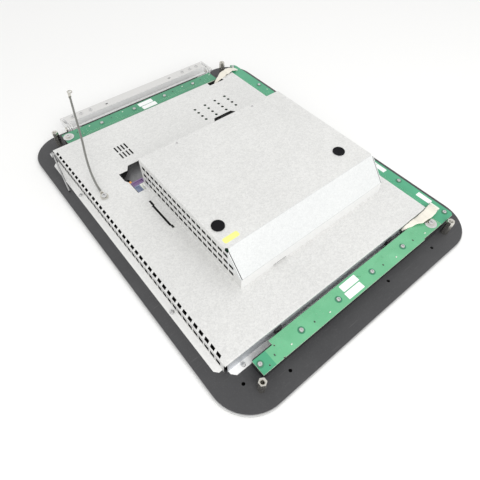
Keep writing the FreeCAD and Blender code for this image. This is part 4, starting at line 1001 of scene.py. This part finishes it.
def film_sheet(node, slot, corner_r, lift):
    """Every label of a node as a fine grid that curls up a little at one corner."""
    rng = random.Random(node)
    sketch = Sketch()
    for centre, lowest, highest in solid_centres(node):
        curl = (rng.choice((-1, 1)), rng.choice((-1, 1)))
        thin = highest.z - lowest.z

        def surface(x, y, z):
            u = (x - centre.x) / (highest.x - lowest.x) * 2 * curl[0]
            v = (y - centre.y) / (highest.y - lowest.y) * 2 * curl[1]
            return z + lift * max(0.0, (u + v) / 2 - 0.62) ** 2 * 4

        rings = []
        for share in (0.0, 0.25, 0.5, 0.7, 0.85, 0.95, 1.0):
            ring = []
            for p in outline(lowest.x, highest.x, lowest.y, highest.y, corner_r, 0, 6):
                q = centre.lerp(Vector((p.x, p.y, 0)), max(share, 0.02))
                ring.append(Vector((q.x, q.y, surface(q.x, q.y, highest.z))))
            rings.append(ring)
        rings.append([Vector((p.x, p.y, p.z - thin)) for p in rings[-1]])
        sketch.rings(rings, cap_end=False)
    sketch.replace(node, node + "_film", [slot])


def port_plugs():
    """Rubber plugs: a rounded rim round a slightly sunken middle."""
    sketch = Sketch()
    for centre, lowest, highest in solid_centres("port_plugs"):
        radius = (highest.x - lowest.x) / 2
        tall = highest.z - COVER_Z
        profile = [(0.05, 0.62), (0.45, 0.60), (0.70, 0.62), (0.78, 0.72), (0.84, 0.95), (0.90, 1.0),
                   (0.95, 0.95), (0.99, 0.7), (1.0, 0.35), (0.99, 0.0)]
        stem = [(6.5 * MM, COVER_Z), (6.5 * MM, COVER_Z - 1 * MM), (6.7 * MM, COVER_Z - 1.4 * MM),
                (6.0 * MM, lowest.z)]
        sketch.turned(centre, [(radius * r, COVER_Z + tall * h) for r, h in profile] + stem, steps=48)
    sketch.replace("port_plugs", "port_plugs_detailed", ["black_rubber"])


# ------------------------------------------------------------------ cables and lanyard
def rope_centreline():
    """Centre of the CAD rope, read from the middle of its wall level by level along Y."""
    levels = 90
    wall = sorted((v.co.copy() for v in NODES["lanyard_rope"].data.vertices), key=lambda p: p.y)
    size = max(1, len(wall) // levels)
    groups = [wall[i:i + size] for i in range(0, len(wall), size) if len(wall[i:i + size]) > size / 2]
    line = [sum(group, Vector()) / len(group) for group in groups]
    for _ in range(6):
        line = [line[0]] + [(a + 2 * b + c) / 4 for a, b, c in zip(line, line[1:], line[2:])] + [line[-1]]
    start, end = line[0] - (line[2] - line[0]), line[-1] + (line[-1] - line[-3])
    return resampled([start] + line + [end], 260)


def resampled(line, count):
    """The same line with evenly spaced points."""
    lengths = [0.0]
    for a, b in zip(line, line[1:]):
        lengths.append(lengths[-1] + (b - a).length)
    points = []
    k = 0
    for i in range(count):
        target = lengths[-1] * i / (count - 1)
        while k < len(line) - 2 and lengths[k + 1] < target:
            k += 1
        share = (target - lengths[k]) / max(lengths[k + 1] - lengths[k], 1e-9)
        points.append(line[k].lerp(line[k + 1], min(share, 1.0)))
    return points


def lanyard_rope():
    """Wire rope: six strands wound round a core."""
    line = rope_centreline()
    rope_r = 1.5 * MM
    strand_r = rope_r / 3
    length = sum((b - a).length for a, b in zip(line, line[1:]))
    lay = 17 * MM
    sketch = Sketch()
    sketch.rings(sweep(line, strand_r, 8))
    for strand in range(6):
        sketch.rings(sweep(line, strand_r * 1.02, 9, turns=length / lay, offset=2 * strand_r,
                           phase=TAU * strand / 6))
    sketch.replace("lanyard_rope", "lanyard_rope_strands", ["rope_steel"], smooth_below=70)


def ribbon(side, along, across, film):
    """Flat cable as a bent sheet: its centre line points and the half-width vector at each."""
    rings = []
    for i, (point, half) in enumerate(zip(along, across)):
        ahead = along[min(i + 1, len(along) - 1)] - along[max(i - 1, 0)]
        normal = ahead.cross(half).normalized() * CABLE_THICK / 2
        row = [point + half * s for s in (-1, -0.97, -0.5, 0, 0.5, 0.97, 1)]
        top = [p + normal for p in row[1:-1]]
        bottom = [p - normal for p in row[1:-1]]
        rings.append([row[0]] + bottom + [row[-1]] + list(reversed(top)))
    sketch = Sketch()
    sketch.rings(rings)
    sketch.replace(side + "_flex_cable", side + "_flex_ribbon", [film], smooth_below=60)


def near_flex_cable():
    """Flat cable out of the tray's near wall, spreading over the boards' corner to its plug."""
    lowest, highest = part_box("near_flex_cable")
    plug_x = highest.x - 2.6 * MM
    # Along X from the wall's slot: inner and outer edge from the wall, and height over the board.
    stations = ((0.0, -0.4, -2.4, -3.6), (4.5, -0.6, -4.8, 0.4), (15.0, -0.8, -7.9, 2.6),
                (26.0, -1.0, -13.0, 3.2), (41.0, -1.0, -14.1, 4.0), (50.0, -0.2, -13.6, 4.2),
                (55.0, 1.0, -12.4, 3.4), (60.6, 1.2, -10.8, 1.4))
    line, half = [], []
    steps = 60
    for i in range(steps + 1):
        place = stations[-1][0] * i / steps
        inner, outer, rise = between_stations(stations, place)
        wave = 0.35 * math.sin(place * 0.42) + 0.2 * math.sin(place * 0.95 + 1.0)
        tilt = 0.9 * math.sin(place * 0.16)
        line.append(Vector((lowest.x + place * MM, NEAR_WALL_Y + (inner + outer) / 2 * MM,
                            BOARD_Z + (rise + wave) * MM)))
        half.append(Vector((0, (outer - inner) / 2 * MM, -tilt * MM)))
    ribbon("near", line, half, "flex_film")
    plug = Sketch()
    plug.box((plug_x, NEAR_WALL_Y - 11.4 * MM, BOARD_Z),
             (highest.x, NEAR_WALL_Y + 2.0 * MM, BOARD_Z + 2.6 * MM), 0.3 * MM)
    plug.make("near_flex_plug", ["pale_plastic"], "panel")


def between_stations(stations, place):
    """Values at a place along a list of stations, eased from one to the next."""
    for start, end in zip(stations, stations[1:]):
        if place <= end[0]:
            break
    share = smooth((place - start[0]) / (end[0] - start[0]))
    return [a + (b - a) * share for a, b in zip(start[1:], end[1:])]


def smooth(t):
    """Soft step from 0 to 1."""
    t = min(max(t, 0.0), 1.0)
    return t * t * (3 - 2 * t)


def far_flex_cable():
    """Flat cable out of the tray's far notch, low over the corner, to the side board."""
    corner = low("far_flex_cable")
    along = Vector((math.cos(FAR_CABLE_TURN), math.sin(FAR_CABLE_TURN), 0))
    across = Vector((-along.y, along.x, 0))
    half_width = 5.0 * MM
    start = Vector((corner.x + half_width * along.y, corner.y + half_width * along.x, 0))
    line, half = [], []
    steps = 60
    for i in range(steps + 1):
        t = i / steps
        arch = 4 * t * (1 - t)
        crumple = 0.45 * math.sin(19 * t) * arch + 0.25 * math.sin(41 * t + 1) * arch
        fall = TRAY_Z - 5.5 * MM * (1 - t) + (BOARD_Z + 1.2 * MM - TRAY_Z) * t
        z = fall + (7.6 * arch ** 0.8 + crumple) * MM
        width = half_width * (0.45 + 0.55 * smooth(t / 0.4))
        line.append(start + along * (FAR_CABLE_LENGTH * t) + Vector((0, 0, z)))
        half.append(across * width + Vector((0, 0, (1.6 * arch + 0.5 * math.sin(23 * t) * arch) * MM)))
    ribbon("far", line, half, "far_flex_film")
    plug = Sketch()
    plug.box((-1.0 * MM, -5.5 * MM, BOARD_Z), (2.0 * MM, 5.5 * MM, BOARD_Z + 2.6 * MM), 0.3 * MM)
    place = Matrix.Translation(Vector((line[-1].x, line[-1].y, 0))) @ Matrix.Rotation(FAR_CABLE_TURN, 4, "Z")
    plug.points = [place @ p for p in plug.points]
    plug.make("far_flex_plug", ["pale_plastic"], "panel")


def connector_latch():
    """Small orange latch at the left end of the long connector."""
    lowest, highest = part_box("serial_connector")
    sketch = Sketch()
    width = 3.4 * MM
    sketch.box((lowest.x - 0.4 * MM, highest.y + 0.4 * MM, lowest.z),
               (lowest.x - 0.4 * MM + width, highest.y + 4.6 * MM, highest.z - 0.6 * MM), 0.5 * MM)
    sketch.make("connector_latch", ["orange_plastic"], "panel")


# ------------------------------------------------------------------ build
for soft_node, edge_width in (("mounting_plate", 0.2), ("front_bezel", 0.25), ("hinge_bar", 0.3),
                              ("hinge_bracket_left", 0.3), ("hinge_bracket_right", 0.3),
                              ("hinge_pins", 0.3), ("lanyard_eyes", 0.15), ("wall_clips", 0.3),
                              ("near_key_carrier", 0.3), ("far_key_carrier", 0.3),
                              ("side_key_carrier", 0.3), ("serial_connector", 0.2),
                              ("video_connector", 0.2), ("power_connector", 0.2)):
    softened(soft_node, edge_width * MM)
key_boards()
labels()
port_plugs()
standoffs()
upright_screws("board_screws", washer_share=0.12)
upright_screws("plate_screws")
upright_screws("cover_screws", head_h=0.8 * MM)
upright_screws("hinge_bar_screws")
upright_screws("lanyard_screw", head_h=2.2 * MM)
earth_screws()
connector_latch()
lanyard_rope()
near_flex_cable()
far_flex_cable()


# ------------------------------------------------------------------ floor, light and camera
def floor():
    """Pale, slightly mottled table top under the panel, with a faint painted light gradient across X."""
    s = Shader("table_top", roughness=0.55)
    veins = s.noise(3.0, detail=6.0, roughness=0.6, distortion=0.8)
    # Slightly lighter towards +X: a faint painted light gradient.
    side = s.ramp(s.plus(s.x, 0.5), (0.1, (0.94, 0.94, 0.935)), (0.9, (0.95, 0.95, 0.945)))
    s.base(s.mix(s.times(veins, 0.06), side, (0.80, 0.80, 0.79)))
    s.rough(veins, 0.2, 0.45)
    size = 6.0
    mesh = bpy.data.meshes.new("table_top")
    z = cad_box[0].z - 0.2 * MM
    corners = [(-size, -size, z), (size, -size, z), (size, size, z), (-size, size, z)]
    mesh.from_pydata(corners, [], [(0, 1, 2, 3)])
    mesh.materials.append(s.material)
    table = bpy.data.objects.new("table_top", mesh)
    link(table)


def studio():
    """Bright even surroundings with one large soft key light."""
    world = bpy.data.worlds.new("studio")
    world.use_nodes = True
    bpy.context.scene.world = world
    background = world.node_tree.nodes["Background"]
    background.inputs["Color"].default_value = (1.0, 1.0, 0.995, 1.0)
    background.inputs["Strength"].default_value = 0.87
    centre = (cad_box[0] + cad_box[1]) / 2
    lamp = bpy.data.lights.new("key", "AREA")
    lamp.shape = "DISK"
    lamp.size = 1.2
    lamp.energy = 12.0
    lamp.color = (1.0, 0.995, 0.985)
    key_light = bpy.data.objects.new("key", lamp)
    key_light.location = centre + Vector((-0.3, -1.15, 0.9))
    key_light.rotation_euler = (centre - key_light.location).to_track_quat("-Z", "Y").to_euler()
    key_light.visible_glossy = False
    link(key_light)
    bpy.context.scene.view_settings.view_transform = "Standard"


def camera():
    """Camera high on the near left, looking down at the rear of the panel."""
    place = Vector((-0.2503, -0.3080, 0.4135))
    look_at = Vector((-0.0572, -0.0791, 0.0080))
    roll = math.radians(1.12)
    lens = bpy.data.cameras.new("camera")
    lens.lens = 29.74
    lens.sensor_width = 36.0
    lens.clip_start = 0.01
    holder = bpy.data.objects.new("camera", lens)
    holder.location = place
    turn = (look_at - place).to_track_quat("-Z", "Y").to_matrix() @ Matrix.Rotation(roll, 3, "Z")
    holder.rotation_euler = turn.to_euler()
    link(holder)
    bpy.context.scene.camera = holder


floor()
studio()
camera()
